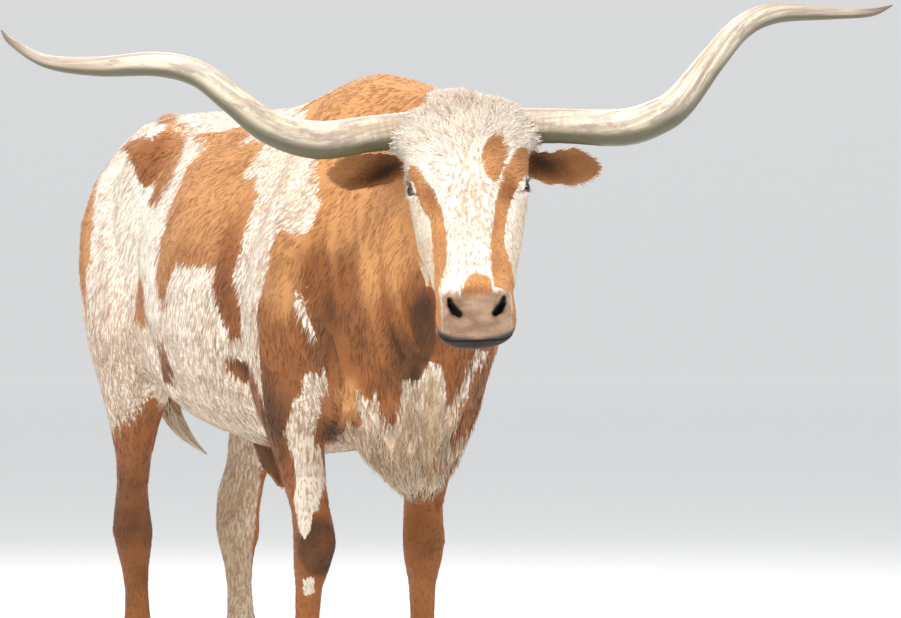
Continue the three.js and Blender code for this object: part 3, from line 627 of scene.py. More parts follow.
WHITE = [  # in view, on the brown: shoulder, foreleg, elbow, brisket and its side, throat, shin
    [(294, 293), (299, 307), (309, 301), (316, 314), (320, 347), (307, 337), (299, 326), (292, 320)],
    [(318, 364), (326, 380), (329, 384), (324, 401), (317, 409), (314, 423), (315, 444), (320, 462), (326, 484),
     (320, 503), (311, 512), (308, 528), (305, 537), (301, 532), (297, 512), (291, 489), (299, 467), (298, 455),
     (292, 439), (287, 430), (281, 430), (277, 414), (278, 401), (282, 384), (285, 384), (287, 392), (294, 387),
     (302, 382), (304, 373), (311, 373)],
    [(271, 366), (267, 392), (270, 414), (273, 419), (272, 392)],
    [(357, 387), (365, 396), (376, 407), (388, 419), (395, 430), (402, 419), (397, 410), (399, 382), (410, 380),
     (420, 382), (429, 364), (442, 366), (444, 394), (449, 407), (447, 419), (442, 432), (433, 451), (427, 471),
     (420, 491), (401, 496), (379, 476), (358, 459), (336, 435), (342, 430), (363, 426), (365, 417), (360, 412)],
    [(488, 350), (481, 369), (477, 378), (465, 401), (454, 421), (445, 430), (449, 409), (463, 391), (470, 371),
     (479, 353)],
    [(438, 437), (463, 435), (461, 451), (449, 469), (440, 484), (426, 498), (429, 476), (444, 460), (436, 453)],
    [(304, 580), (312, 578), (313, 592), (306, 594)],
]
FACE_BROWN = [  # across the face and up it, in millimetres from the poll, right of the animal first
    [(121, -153), (108, -166), (75, -222), (59, -262), (52, -326), (57, -386), (70, -422), (79, -438), (88, -438),
     (82, -418), (82, -346), (84, -282), (104, -242), (124, -178)],
    [(-104, -127), (-75, -182), (-55, -242), (-47, -286), (-37, -346), (-35, -418), (-37, -452), (-55, -456),
     (-82, -462), (-86, -426), (-79, -386), (-67, -346), (-69, -314), (-77, -274), (-88, -242), (-106, -210),
     (-122, -186), (-134, -144), (-122, -122)],
    [(-57, -105), (-73, -110), (-80, -135), (-75, -172), (-62, -204), (-50, -214), (-40, -204), (-29, -178),
     (-28, -152), (-36, -127), (-46, -108)],
    [(-2, -420), (-24, -426), (-32, -442), (-33, -478), (-7, -484), (27, -484), (35, -474), (21, -438),
     (13, -424)],
]
# Painted light among these: the darker spots under the jaw and down the neck are painted shade, and the lighter
# neck spot a painted highlight.
DEEP_AND_PAINTED_LIGHT = [  # in view: centre, half sizes and how much darker the brown is
    (150, 168, 20, 34, 0.45), (228, 290, 14, 60, 0.5), (332, 292, 26, 40, 0.55), (300, 350, 34, 34, 0.40),
    (400, 350, 60, 60, 0.35), (250, 374, 20, 16, 0.5), (165, 375, 8, 22, 0.5), (130, 520, 40, 110, 0.30),
    (320, 548, 16, 22, 0.75), (424, 562, 18, 24, 0.8), (262, 450, 20, 50, 0.55), (300, 470, 26, 60, 0.25),
    (96, 540, 10, 24, 0.8), (420, 500, 40, 40, 0.3), (440, 440, 8, 10, 0.6), (500, 400, 30, 60, 0.2),
    # painted shade under the jaw and down the neck, then a painted highlight on the neck
    (424, 322, 16, 44, 0.45), (470, 378, 14, 26, 0.40), (372, 250, 26, 60, -0.30), (345, 400, 12, 22, -0.25),
    (330, 150, 40, 60, -0.25), (210, 180, 30, 40, -0.18), (336, 428, 14, 12, 0.4),
]
HEAD_DOWN = [-12, 8, 42, 80, 125, 178, 215, 255, 300, 350, 400, 440, 470, 498, 536]
HEAD_HALF = [60, 108, 142, 160, 134, 126, 128, 119, 111, 100, 90, 84, 86, 86, 62]
THROAT_DOWN = [100, 200, 280, 350, 400, 450, 520]
THROAT = [-300, -266, -258, -224, -206, -190, -182]
JAW_DOWN = [190, 255, 278, 309, 340]
JAW_LINE = [401, 416, 425, 434, 441]


def inside_by(p, outline):
    """How far inside an outline each point lies, in the outline's own unit."""
    ring = np.array(outline, float)
    best = np.full(len(p), 1e9)
    winds = np.zeros(len(p), bool)
    for a, b in zip(ring, np.roll(ring, -1, axis=0)):
        run = b - a
        t = np.clip(((p - a) @ run) / max(run @ run, 1e-9), 0, 1)
        best = np.minimum(best, np.linalg.norm(p - a - t[:, None] * run, axis=1))
        cross = (a[1] > p[:, 1]) != (b[1] > p[:, 1])
        at = a[0] + (p[:, 1] - a[1]) / (run[1] if abs(run[1]) > 1e-9 else 1e-9) * run[0]
        winds ^= cross & (p[:, 0] < at)
    return np.where(winds, best, -best)


def blob(p, centre, half):
    d = (p - np.array(centre)) / np.array(half)
    return 1 - np.linalg.norm(d, axis=1)


def soft(p, centre, half):
    return np.exp(-(((p - np.array(centre)) / np.array(half)) ** 2).sum(1))


points = points_of(hide_mesh)
normals = normals_of(hide_mesh)
local = in_head(points)
beyond_nape = past_nape(local)


def distance_to(nodes, where):
    """How far the chosen points are from the solids of some nodes."""
    far = np.full(len(points), 9.0)
    for node in nodes:
        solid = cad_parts[node].data
        tree = BVHTree.FromPolygons([v.co for v in solid.vertices], [p.vertices for p in solid.polygons])
        for i in where:
            far[i] = min(far[i], tree.find_nearest(points[i])[3])
    return far


# Which part of the animal each point belongs to, and how squarely the camera sees it.
x_out = np.abs(local[:, 0])
down = -local[:, 2] * 1000
on_far_ear = (x_out > 0.175) & (local[:, 1] > -0.20) & (local[:, 2] > -0.20) & (beyond_nape > 0)
about_head = np.flatnonzero((beyond_nape > 0) & (x_out > 0.12))
to_ear = distance_to(["ear_right", "ear_left"], about_head)
is_ear = (to_ear < 0.010) & (x_out > 0.128) | on_far_ear
wide = np.interp(down, HEAD_DOWN, HEAD_HALF) / 1000 + 0.012
throat = np.interp(down, THROAT_DOWN, THROAT) / 1000
is_head = (beyond_nape > 0) & (local[:, 1] > throat) & (local[:, 2] > -0.56) & (x_out < wide) | is_ear
seen = in_view(points)
jaw_line = np.interp(seen[:, 1], JAW_DOWN, JAW_LINE) - 1
is_head &= is_ear | (local[:, 2] > -0.20) | (local[:, 0] < 0) | (seen[:, 0] > jaw_line)
body = points - (MIDLINE, BACK, 0)
side_plane = body[:, 1:] * 1000
to_camera = unit(CAMERA_PLACE - points)
faces_view = (normals * to_camera).sum(1)
is_tail = (body[:, 1] > 0.865) & (points[:, 2] < 1.44)
right_side = 1 - step(body[:, 0], -0.03, 0.12)
high = step(points[:, 2], 1.05, 1.25)
view_share = step(faces_view, -0.02 - 0.04 * high, 0.10 - 0.06 * high)
view_share = view_share * np.maximum(right_side, step(-body[:, 1], 0.60, 0.75))
far_hind = (body[:, 1] > 0.3) & (body[:, 0] > 0)
view_share = np.where((points[:, 2] < 0.62) & ((faces_view < 0.0) | far_hind), 0, view_share)

# Brown: above nothing inside a patch and below nothing outside, over a soft edge.
PATCH_GROWTH = 1.2
PATCH_EDGE = 5
in_brown = np.full(len(points), -60.0)
for outline in BROWN:
    in_brown = np.maximum(in_brown, inside_by(seen, outline) + PATCH_GROWTH)
for outline in WHITE:
    in_brown = np.minimum(in_brown, -inside_by(seen, outline) - PATCH_GROWTH)
seen_field = np.clip(in_brown / PATCH_EDGE, -1, 1)
far_field = np.full(len(points), -1.0)
FAR_BROWN = [  # ovals on the side: centre and half sizes, back and up, in millimetres
    ((610, 1330), (170, 120)), ((130, 1250), (330, 190)), ((60, 1050), (60, 190)), ((330, 1040), (50, 150)),
    ((-620, 1200), (260, 420)), ((-560, 800), (190, 260)), ((40, 790), (110, 60)), ((380, 800), (50, 90)),
    ((760, 1240), (60, 120)), ((-200, 1180), (50, 60)),
]
for centre, half in FAR_BROWN:
    far_field = np.maximum(far_field, blob(side_plane, centre, half) * 2.2)
below = 1 - step(points[:, 2], 0.60, 0.72)
inner_and_outer = -0.75 + 1.6 * step(body[:, 0], 0.138, 0.178)
far_leg = np.where((body[:, 1] < 0) | (body[:, 0] < 0), 0.9, inner_and_outer)
far_field = far_field * (1 - below) + far_leg * below
cleft = (body[:, 1] > 0.3) & (np.abs(body[:, 0]) < 0.09) & (points[:, 2] > 0.9) & (normals[:, 1] > 0.4)
far_field = np.where(cleft, 0.6, far_field)
brown = far_field * (1 - view_share) + seen_field * view_share
brown = np.maximum(brown, -0.78)
brown = np.where(is_tail, 0.8, brown)
on_sheath = (np.abs(body[:, 0]) < 0.075) & (body[:, 1] > 0.03) & (body[:, 1] < 0.19) & (points[:, 2] < 0.645)
brown = np.where(on_sheath, 0.55, brown)

face = local[:, [0, 2]] * 1000
face_field = np.full(len(points), -1.0)
for outline in FACE_BROWN:
    face_field = np.maximum(face_field, np.clip(inside_by(face, outline) / 9, -1, 1))
beside_nose = step(x_out, 0.068, 0.078) * step(-local[:, 2], 0.425, 0.445) * (local[:, 1] > -0.12)
face_field = np.maximum(face_field, beside_nose * 1.7 - 1)
face_field = np.where(is_ear, 0.8, face_field)
nape_brown = step(-local[:, 1], 0.122, 0.150) * (1 - step(-local[:, 2], 0.26, 0.34))
face_field = np.maximum(face_field, nape_brown * 1.6 - 1)
brown = np.where(is_head, face_field, brown)

# Roan: how many brown flecks the white has.
roan = 0.50 + 0.22 * step(-body[:, 2], -1.15, -0.85)
ROAN_SPOTS = [((292, 190), (30, 60), 0.3), ((262, 330), (14, 60), 0.25), ((146, 250), (12, 60), -0.35)]
for centre, half, rise in ROAN_SPOTS:
    roan += rise * soft(seen, centre, half) * view_share
roan += 0.15 * soft(side_plane, (-330, 1250), (120, 160)) + 0.2 * soft(side_plane, (430, 900), (220, 160))
# Extra flecks over the lower chest darken it as painted shade.
roan += 0.25 * soft(seen, (410, 440), (60, 60)) * view_share
roan = np.where((points[:, 2] < 0.62) & ~is_head, np.where(far_hind, 0.75, 0.35), roan)
face_roan = 0.30 + 0.45 * soft(face, (-4, -260), (50, 130)) + 0.35 * soft(face, (15, -25), (70, 60))
roan = np.where(is_head, face_roan, roan)
roan = np.where(is_ear | is_tail, 0.05, roan)
roan = np.clip(roan, 0, 1)

# Depth and painted shade: how dark the brown is, most in folds, at knees and hocks and in the ears' hollows.
# The darkening low on the body, in the folds' grooves, under the jaw and in the ears' hollows is painted shade,
# and the folds' ridges and a spot on the neck get painted highlight.
deep = 0.16 + 0.32 * (1 - step(points[:, 2], 0.55, 1.25))
for x, y, half_x, half_y, rise in DEEP_AND_PAINTED_LIGHT:
    deep += 1.3 * rise * soft(seen, (x, y), (half_x, half_y)) * view_share * ~is_head
# Painted shade in the folds' grooves and painted highlight on their ridges, from the folds that shape the skin.
fold_shade_and_highlight = view_folds(seen, 0.8, -100)
fold_shade_and_highlight = np.clip(fold_shade_and_highlight, -1, 1.2) * view_share * (points[:, 1] < -0.30) * ~is_head
deep += 0.42 * fold_shade_and_highlight
KNEE = (0.134, -0.575, 0.44)
HOCK = (0.135, 0.795, 0.43)
for joint, half, rise in ((KNEE, (0.05, 0.05, 0.06), 0.5), (HOCK, (0.05, 0.04, 0.07), 0.4)):
    for side in (-1, 1):
        place = np.array(joint) * (side, 1, 1) + (MIDLINE, BACK, 0)
        deep += rise * soft(points, place, half)
deep += 0.35 * (1 - step(points[:, 2], 0.08, 0.22))
face_deep = 0.14 + 0.30 * soft(face, (74, -235), (26, 40)) + 0.30 * soft(face, (-82, -225), (26, 40))
face_deep = face_deep + 0.30 * soft(face, (0, -466), (60, 12))
deep = np.where(is_head, face_deep, deep)
ear_hollow = is_ear & ((normals @ HEAD)[:, 1] > 0.25)
deep = np.where(is_ear, 0.22, deep)
# Painted shade in the middle of each ear's hollow.
ear_t = (x_out - 0.116) / 0.17
ear_middle = np.exp(-(((local[:, 2] + 0.098 + 0.06 * ear_t) / 0.024) ** 2))
hollow_shade = 0.26 + 0.80 * ear_middle * np.exp(-(((ear_t - 0.30) / 0.30) ** 2))
deep = np.where(ear_hollow, hollow_shade, deep)
deep = np.where(is_tail, 0.35, deep)
deep = np.clip(deep, 0, 1)

# Cream and painted shade: how yellow the white is, most low down and inside the legs. Over the lower chest and
# in the folds' grooves it also greys the white as painted shade.
cream = 0.22 + 0.35 * (1 - step(points[:, 2], 0.60, 1.0))
# A yellow streak on the chest, and painted shade over the lower chest.
cream += (0.8 * soft(seen, (432, 415), (9, 40)) + 0.25 * soft(seen, (400, 450), (70, 50))) * view_share
cream = np.where((points[:, 2] < 0.7) & (body[:, 1] > 0.3), 0.75, cream)
cheek = step(-local[:, 1], 0.015, 0.05) * (1 - step(local[:, 2], -0.16, -0.08))
cream = np.where(is_head, 0.16 + 0.50 * cheek, cream)
cream += 0.16 * step(local[:, 2], -0.12, -0.02) * is_head
# Painted shade greys the white in the folds' grooves.
cream += 0.55 * np.maximum(fold_shade_and_highlight, 0)
cream = np.clip(cream, 0, 1)

# Bare skin: the muzzle with its arched edge, the dark lips and nostrils, and the rims of the lids. The dark under
# the mouth is dark skin with painted shade, and the dark in and around the nostrils is painted shade.
arch = 0.012 * np.exp(-((x_out / 0.030) ** 2)) - 0.006 * np.exp(-(((x_out - 0.062) / 0.016) ** 2))
arch += 0.0025 * np.sin(local[:, 0] * 420) + 0.0020 * np.sin(local[:, 0] * 970 + 1)
muzzle = step(-local[:, 2], 0.450 + arch, 0.472 + arch) * (1 - step(-local[:, 1], 0.075, 0.10))
muzzle = np.maximum(muzzle, step(-local[:, 2], 0.470, 0.500))
muzzle *= 1 - beside_nose * (local[:, 2] > -0.522)
bare = muzzle * is_head
lips = (local - MOUTH) @ MOUTH_AXIS
# Dark skin with painted shade under the mouth.
dark = np.where(is_head, step(lips, -0.030, -0.010) * step(-local[:, 2], 0.41, 0.45), 0)
for side in (-1, 1):
    gap = nostril_gap(local, side)
    # Painted shade inside and around each nostril.
    dark = np.maximum(dark, is_head * (1 - step(gap, 0.92, 1.22)))
    deep = np.maximum(deep, is_head * 0.75 * (1 - step(gap, 1.2, 2.3)))
    look, along, _ = eye_axes(side)
    slot, close = lid_opening(local, side)
    dark = np.maximum(dark, close * step(slot, -0.26, -0.08))
    bare = np.maximum(bare, close * 0.45 * step(slot, -0.80, -0.30))
    from_eye = local - EYES[side]
    tear_line = unit(along * 0.9 - look * 0.25)
    tear = np.linalg.norm(np.cross(from_eye - look * 0.012 - along * 0.020, tear_line), axis=1)
    onward = from_eye @ along
    tear_part = step(onward, 0.012, 0.020) * (1 - step(onward, 0.040, 0.055))
    dark = np.maximum(dark, is_head * 0.75 * np.exp(-((tear / 0.0035) ** 2)) * tear_part)

# Where the hair lies: down and back over the body, outwards from a whorl on the forehead.
drop = 0.15 + 1.9 * np.maximum(points[:, 2] - 0.8, 0)
lean = 0.15 * points[:, 2] + 0.95 * np.maximum(points[:, 2] - 0.8, 0) ** 2
comb = np.stack([points[:, 1] + lean, points[:, 0], points[:, 2] * 1.1], 1)
comb = np.where(is_head[:, None], local * (1, 1, 2.0), comb)
nothing = np.zeros(len(points))
flow = np.stack([nothing, drop, nothing - 1], 1)
whorl = unit(np.stack([local[:, 0] * 1.1, nothing - 0.06, local[:, 2] + 0.19], 1))
whorl = whorl + np.stack([nothing, nothing - 0.25, -1.2 * step(-local[:, 2], 0.19, 0.30)], 1)
whorl = np.where(is_ear[:, None], np.stack([np.sign(local[:, 0]), nothing - 0.22, nothing], 1), whorl)
flow = np.where(is_head[:, None], unit(whorl) @ HEAD.T, flow)
flow = unit(flow - normals * (flow * normals).sum(1, keepdims=True))
FIELDS = {
    "ragged": np.where(is_head, 0.16, 0.50),
    "brown": brown,
    "roan": roan,
    "deep": deep,
    "cream": cream,
    "bare": bare,
    "dark": dark,
    "comb": comb,
}


def store(mesh, fields):
    for name, values in fields.items():
        kind, key = ("FLOAT_VECTOR", "vector") if values.ndim == 2 else ("FLOAT", "value")
        layer = mesh.attributes.new(name, kind, "POINT")
        layer.data.foreach_set(key, np.ascontiguousarray(values, np.float32).ravel())


store(hide_mesh, FIELDS)

# Hide and hair: soft matt hair over a hide that shows its own tone only where it is bare. One node group turns
# the marks into colour with streaks and flecks that run along the hair. Both materials use it, so each lock
# takes the colour of the skin at its root.
class Nodes:
    """Short calls for the nodes of one tree."""

    def __init__(self, tree):
        self.tree = tree

    def add(self, kind, inputs=(), **settings):
        node = self.tree.nodes.new(kind)
        for name, value in settings.items():
            setattr(node, name, value)
        for name, value in dict(inputs).items():
            if isinstance(value, bpy.types.NodeSocket):
                self.tree.links.new(value, node.inputs[name])
            else:
                node.inputs[name].default_value = value
        return node

    def mark(self, name, output="Fac"):
        return self.add("ShaderNodeAttribute", attribute_name=name).outputs[output]

    def maths(self, operation, a, b=0.0, c=0.0):
        return self.add("ShaderNodeMath", {0: a, 1: b, 2: c}, operation=operation).outputs[0]

    def noise(self, where, scale, detail=2.0, rough=0.5, warp=0.0):
        inputs = {"Vector": where, "Scale": scale, "Detail": detail, "Roughness": rough, "Distortion": warp}
        return self.add("ShaderNodeTexNoise", inputs).outputs["Fac"]

    def stretched(self, where, scale):
        return self.add("ShaderNodeMapping", {"Vector": where, "Scale": scale}).outputs[0]

    def ramp(self, value, low, high, out_low=0.0, out_high=1.0):
        inputs = {"Value": value, "From Min": low, "From Max": high, "To Min": out_low, "To Max": out_high}
        return self.add("ShaderNodeMapRange", inputs, interpolation_type="SMOOTHSTEP").outputs[0]

    def swing(self, value, amount):
        return self.maths("MULTIPLY", self.maths("SUBTRACT", value, 0.5), amount)

    def mix(self, share, a, b, blend="MIX"):
        return self.add("ShaderNodeMix", {0: share, 6: a, 7: b}, data_type="RGBA", blend_type=blend).outputs[2]

    def bump(self, height, strength, distance):
        inputs = {"Height": height, "Strength": strength, "Distance": distance}
        return self.add("ShaderNodeBump", inputs).outputs["Normal"]

    def feed(self, socket, value):
        self.tree.links.new(value, self.tree.nodes["Principled BSDF"].inputs[socket])


hide = bpy.data.node_groups.new("hide marks", "ShaderNodeTree")
for socket in ("Raggedness", "Flecks"):
    hide.interface.new_socket(name=socket, in_out="INPUT", socket_type="NodeSocketFloat")
hide.interface.new_socket(name="Color", in_out="OUTPUT", socket_type="NodeSocketColor")
hide.interface.new_socket(name="Height", in_out="OUTPUT", socket_type="NodeSocketFloat")
hide_in = hide.nodes.new("NodeGroupInput")
hide_out = hide.nodes.new("NodeGroupOutput")
LIGHT_TAN = (0.60, 0.285, 0.105, 1)
RED_BROWN = (0.30, 0.105, 0.030, 1)
DARK_BROWN = (0.060, 0.024, 0.008, 1)
WHITE_HAIR = (0.93, 0.865, 0.775, 1)
# Cream hair, also the grey tan of painted shade on the white.
CREAM_AND_SHADE_HAIR = (0.56, 0.45, 0.30, 1)
HAIR_GAPS = (0.60, 0.42, 0.28, 1)
ROAN = (0.62, 0.45, 0.32, 1)
NOSE_DARK, NOSE_LIGHT = (0.29, 0.165, 0.10, 1), (0.46, 0.30, 0.20, 1)
NOSE_SHADE, NOSE_PORES = (0.13, 0.07, 0.04, 1), (0.16, 0.09, 0.055, 1)
# Dark skin, also the painted shade under the mouth and in the nostrils.
DARK_SKIN_AND_SHADE = (0.016, 0.011, 0.008, 1)
n = Nodes(hide)
comb_at = n.mark("comb", "Vector")
streaks = n.noise(n.stretched(comb_at, (46, 46, 13)), 1.0, 3.0, 0.6)
flecks = n.noise(n.stretched(comb_at, (150, 150, 42)), 1.0, 2.0, 0.6)
wide = n.noise(comb_at, 7.0, 2.0)
hairs = n.noise(n.stretched(comb_at, (900, 900, 60)), 1.0, 2.0, 0.6)
ragged_by = n.swing(streaks, n.maths("MULTIPLY", n.mark("ragged"), hide_in.outputs["Raggedness"]))
field = n.maths("ADD", n.mark("brown"), ragged_by)
field = n.maths("ADD", field, n.swing(flecks, 1.1))
is_brown = n.ramp(field, -0.14, 0.14)
# The depth mark carries painted shade and highlight besides the brown's own depth.
shaded_depth = n.maths("ADD", n.mark("deep"), n.swing(wide, 0.65))
shaded_depth = n.maths("ADD", shaded_depth, n.swing(hairs, 0.16))
tan = n.mix(n.ramp(shaded_depth, 0.0, 0.55), LIGHT_TAN, RED_BROWN)
tan = n.mix(n.ramp(shaded_depth, 0.55, 1.1), tan, DARK_BROWN)
# The cream mark carries painted shade besides the white's yellowness.
milk = n.maths("ADD", n.mark("cream"), n.swing(wide, 0.7))
milk = n.mix(n.ramp(milk, 0.0, 1.0), WHITE_HAIR, CREAM_AND_SHADE_HAIR)
milk = n.mix(n.maths("MULTIPLY", n.ramp(hairs, 0.5, 0.8), 0.25), milk, HAIR_GAPS)
fleck = n.maths("ADD", flecks, n.maths("MULTIPLY", n.mark("roan"), 0.24))
fleck = n.ramp(fleck, 0.60, 0.74, 0.0, hide_in.outputs["Flecks"])
milk = n.mix(fleck, milk, n.mix(0.30, tan, ROAN))
coloured = n.mix(is_brown, milk, tan)
pores = n.noise(comb_at, 260.0, 2.0)
flesh_tone = n.mix(n.ramp(n.noise(comb_at, 34.0, 4.0), 0.3, 0.7), NOSE_DARK, NOSE_LIGHT)
flesh_tone = n.mix(n.ramp(n.mark("deep"), 0.1, 1.0, 0.0, 0.85), flesh_tone, NOSE_SHADE)
flesh_tone = n.mix(n.ramp(pores, 0.56, 0.72, 0.0, 0.35), flesh_tone, NOSE_PORES)
coloured = n.mix(n.mark("bare"), coloured, flesh_tone)
coloured = n.mix(n.mark("dark"), coloured, DARK_SKIN_AND_SHADE)
height = n.maths("ADD", n.maths("MULTIPLY", hairs, 0.8), n.maths("MULTIPLY", flecks, 0.5))
height = n.maths("ADD", height, n.maths("MULTIPLY", n.maths("MULTIPLY", pores, n.mark("bare")), 1.6))
hide.links.new(coloured, hide_out.inputs["Color"])
hide.links.new(height, hide_out.inputs["Height"])


def coat_material(name, rough, sheen):
    """A material of the coat, its node helper and the node that gives it the coat's marks."""
    look = new_look(name, Roughness=rough, Sheen_Weight=sheen, Sheen_Roughness=0.4, Specular_IOR_Level=0.3)
    m = Nodes(look.node_tree)
    return look, m, m.add("ShaderNodeGroup", {"Raggedness": 2.2, "Flecks": 0.72}, node_tree=hide)


skin_look, m, marks = coat_material("hide", 0.72, 0.10)
m.feed("Base Color", marks.outputs["Color"])
m.feed("Normal", m.bump(marks.outputs["Height"], 0.55, 0.0016))
wet = m.maths("MULTIPLY", m.mark("bare"), m.ramp(m.mark("dark"), 0.0, 1.0, 1.0, 0.25))
m.feed("Roughness", m.ramp(wet, 0.0, 1.0, 0.74, 0.40))
hide_mesh.materials.clear()
hide_mesh.materials.append(skin_look)

ROOT_SHADE = (0.45, 0.36, 0.30, 1)
LOCK_SHADE = (0.70, 0.60, 0.52, 1)
hair_look, m, marks = coat_material("hair", 0.62, 0.12)
colour = marks.outputs["Color"]
for share, shade in (
    (m.ramp(m.mark("tip"), 0.0, 0.6, 0.12, 0.0), ROOT_SHADE),
    (m.ramp(m.mark("tone"), 0.2, 1.0, 0.0, 0.12), LOCK_SHADE),
):
    colour = m.mix(share, colour, m.mix(1.0, colour, shade, "MULTIPLY"))
m.feed("Base Color", colour)

# Eyes: dark brown balls with a low clear dome, a wide level pupil and a wet gloss. Each is a globe set behind
# the lids, turned to the side and a little forward.
IRIS_DARK, IRIS_LIGHT = (0.010, 0.005, 0.003, 1), (0.032, 0.014, 0.006, 1)
EYE_RIM = (0.020, 0.012, 0.008, 1)
PUPIL_BLACK = (0.002, 0.002, 0.003, 1)
EYE_RADIUS = 0.0219
DOME = 0.055
PUPIL_LONG, PUPIL_HIGH = 0.0078, 0.0042
eye_look = new_look("eye", Roughness=0.16, Specular_IOR_Level=0.25, Coat_Weight=0.35, Coat_Roughness=0.03)
m = Nodes(eye_look.node_tree)
grain = m.noise(m.mark("spot", "Vector"), 900.0, 3.0)
iris = m.mix(m.ramp(grain, 0.3, 0.7), IRIS_DARK, IRIS_LIGHT)
iris = m.mix(m.ramp(m.mark("angle"), 1.0, 1.2), iris, EYE_RIM)
iris = m.mix(m.ramp(m.mark("pupil"), 0.9, 1.1), PUPIL_BLACK, iris)
m.feed("Base Color", iris)


def add_piece(name, mesh, marks, look, node=None):
    """Places a finished mesh with its marks and material, riding on the animal's one body."""
    store(mesh, marks)
    mesh.materials.append(look)
    piece = place_object(name, mesh)
    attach(piece, "root")
    if node:
        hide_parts(node)


def mesh_of(name, bm):
    """A smooth mesh of a closed bmesh, its faces turned outwards."""
    bmesh.ops.recalc_face_normals(bm, faces=bm.faces)
    mesh = bpy.data.meshes.new(name)
    bm.to_mesh(mesh)
    bm.free()
    mesh.shade_smooth()
    return mesh


for word, side in (("right", 1), ("left", -1)):
    ball_bm = bmesh.new()
    bmesh.ops.create_uvsphere(ball_bm, u_segments=64, v_segments=48, radius=EYE_RADIUS)
    look, along, _ = eye_axes(side)
    basis = np.stack([along, np.cross(look, along), look], 1)
    local = np.array([v.co for v in ball_bm.verts])
    away = np.arccos(np.clip(local[:, 2] / np.linalg.norm(local, axis=1), -1, 1))
    local *= (1 + DOME * (1 - step(away, 0.25, 0.75)))[:, None]
    pupil = np.hypot(local[:, 0] / PUPIL_LONG, local[:, 1] / PUPIL_HIGH) + 2 * (local[:, 2] < 0)
    for v, co in zip(ball_bm.verts, from_head(EYES[side] + local @ basis.T)):
        v.co = co
    name = "eye_ball_" + word
    eye_marks = {"angle": away, "pupil": pupil, "spot": local}
    add_piece(name, mesh_of(name, ball_bm), eye_marks, eye_look, "eye_" + word)

# Horns: sheaths of ivory horn over bony cores on both sides of the poll. Rings along a smooth curve, wrinkled
# near the skull and smooth beyond, with streaks that run lengthwise, blotches, a tan base, a dark olive painted
# shade and reflection on the underside, and brown tips.
HORNS = {  # outward, up, forward and radius, in millimetres from the middle of the horns' line
    "right": [(112, -2, -12, 40), (200, -8, 14, 38.5), (310, -19, 52, 40.5), (408, 9, 72, 35.5),
              (484, 69, 78, 30.5), (554, 126, 68, 28), (640, 151, 42, 26), (765, 154, -18, 21),
              (873, 171, -70, 14.5), (947, 216, -110, 7.5), (969, 244, -126, 1.5)],
    "left": [(112, -2, -12, 40), (200, -4, 14, 37), (326, -13, 52, 39.5), (398, 4, 69, 38), (450, 36, 77, 34.5),
             (522, 120, 74, 28), (590, 189, 52, 25), (668, 219, 20, 22), (792, 219, -38, 13.5),
             (886, 221, -80, 9), (936, 236, -102, 1.5)],
}


def smooth_rows(rows, steps):
    """Rows of numbers with a smooth curve's steps put in between them."""
    rows = np.array(rows, float)
    out = []
    for i in range(len(rows) - 1):
        a, b, d, e = rows[max(i - 1, 0)], rows[i], rows[i + 1], rows[min(i + 2, len(rows) - 1)]
        for t in np.arange(steps) / steps:
            out.append(b + 0.5 * t * (d - a + t * (2 * a - 5 * b + 4 * d - e + t * (3 * (b - d) + e - a))))
    out.append(rows[-1])
    return np.array(out)


def ring_tube(centres, radii, sides, shape=None):
    """Rings of points round a line and its two ends, with each point's angle and share of the length."""
    run = unit(np.gradient(centres, axis=0))
    across = np.array([0.0, 0.0, 1.0])
    angle = np.arange(sides) / sides * 2 * np.pi
    far = np.concatenate([[0], np.cumsum(np.linalg.norm(np.diff(centres, axis=0), axis=1))])
    rings = []
    for i, (centre, radius) in enumerate(zip(centres, radii)):
        across = unit(across - run[i] * (across @ run[i]))
        over = np.cross(run[i], across)
        grow = radius * (np.ones(sides) if shape is None else shape(far[i], angle))
        rings.append(centre + np.outer(np.cos(angle) * grow, across) + np.outer(np.sin(angle) * grow, over))
    points = np.concatenate(rings + [centres[:1], centres[-1:]])
    share = np.append(np.repeat(far / far[-1], sides), [0.0, 1.0])
    return points, np.append(np.tile(angle, len(centres)), [0.0, 0.0]), share


def ringed_piece(name, points, sides, marks, look, node):
    """A piece made from a globe: its circles are moved to the rings of points and its poles to the two ends."""
    count = (len(points) - 2) // sides
    bm = bmesh.new()
    bmesh.ops.create_uvsphere(bm, u_segments=sides, v_segments=count + 1, radius=1)
    globe = np.array([v.co for v in bm.verts])
    circle = np.rint(np.arccos(np.clip(globe[:, 2], -1, 1)) / np.pi * (count + 1)).astype(int) - 1
    turn = np.arctan2(globe[:, 1], globe[:, 0]) / (2 * np.pi) - 0.25  # the globe's first corner is on +Y
    corner = np.rint(turn * sides).astype(int) % sides
    order = np.where(circle < count, circle * sides + corner, count * sides + 1)
    order[circle < 0] = count * sides
    for v, point in zip(bm.verts, points[order]):
        v.co = point
    marks = {key: values[order] for key, values in marks.items()}
    add_piece(name, mesh_of(name, bm), marks, look, node)


HORN_TAN, HORN_IVORY = (0.46, 0.35, 0.25, 1), (0.80, 0.73, 0.57, 1)
HORN_SPECKS = (0.40, 0.30, 0.22, 1)
HORN_BASE = (0.36, 0.24, 0.155, 1)
HORN_BLOTCH = (0.36, 0.275, 0.235, 1)
HORN_OUTER = (0.40, 0.31, 0.25, 1)
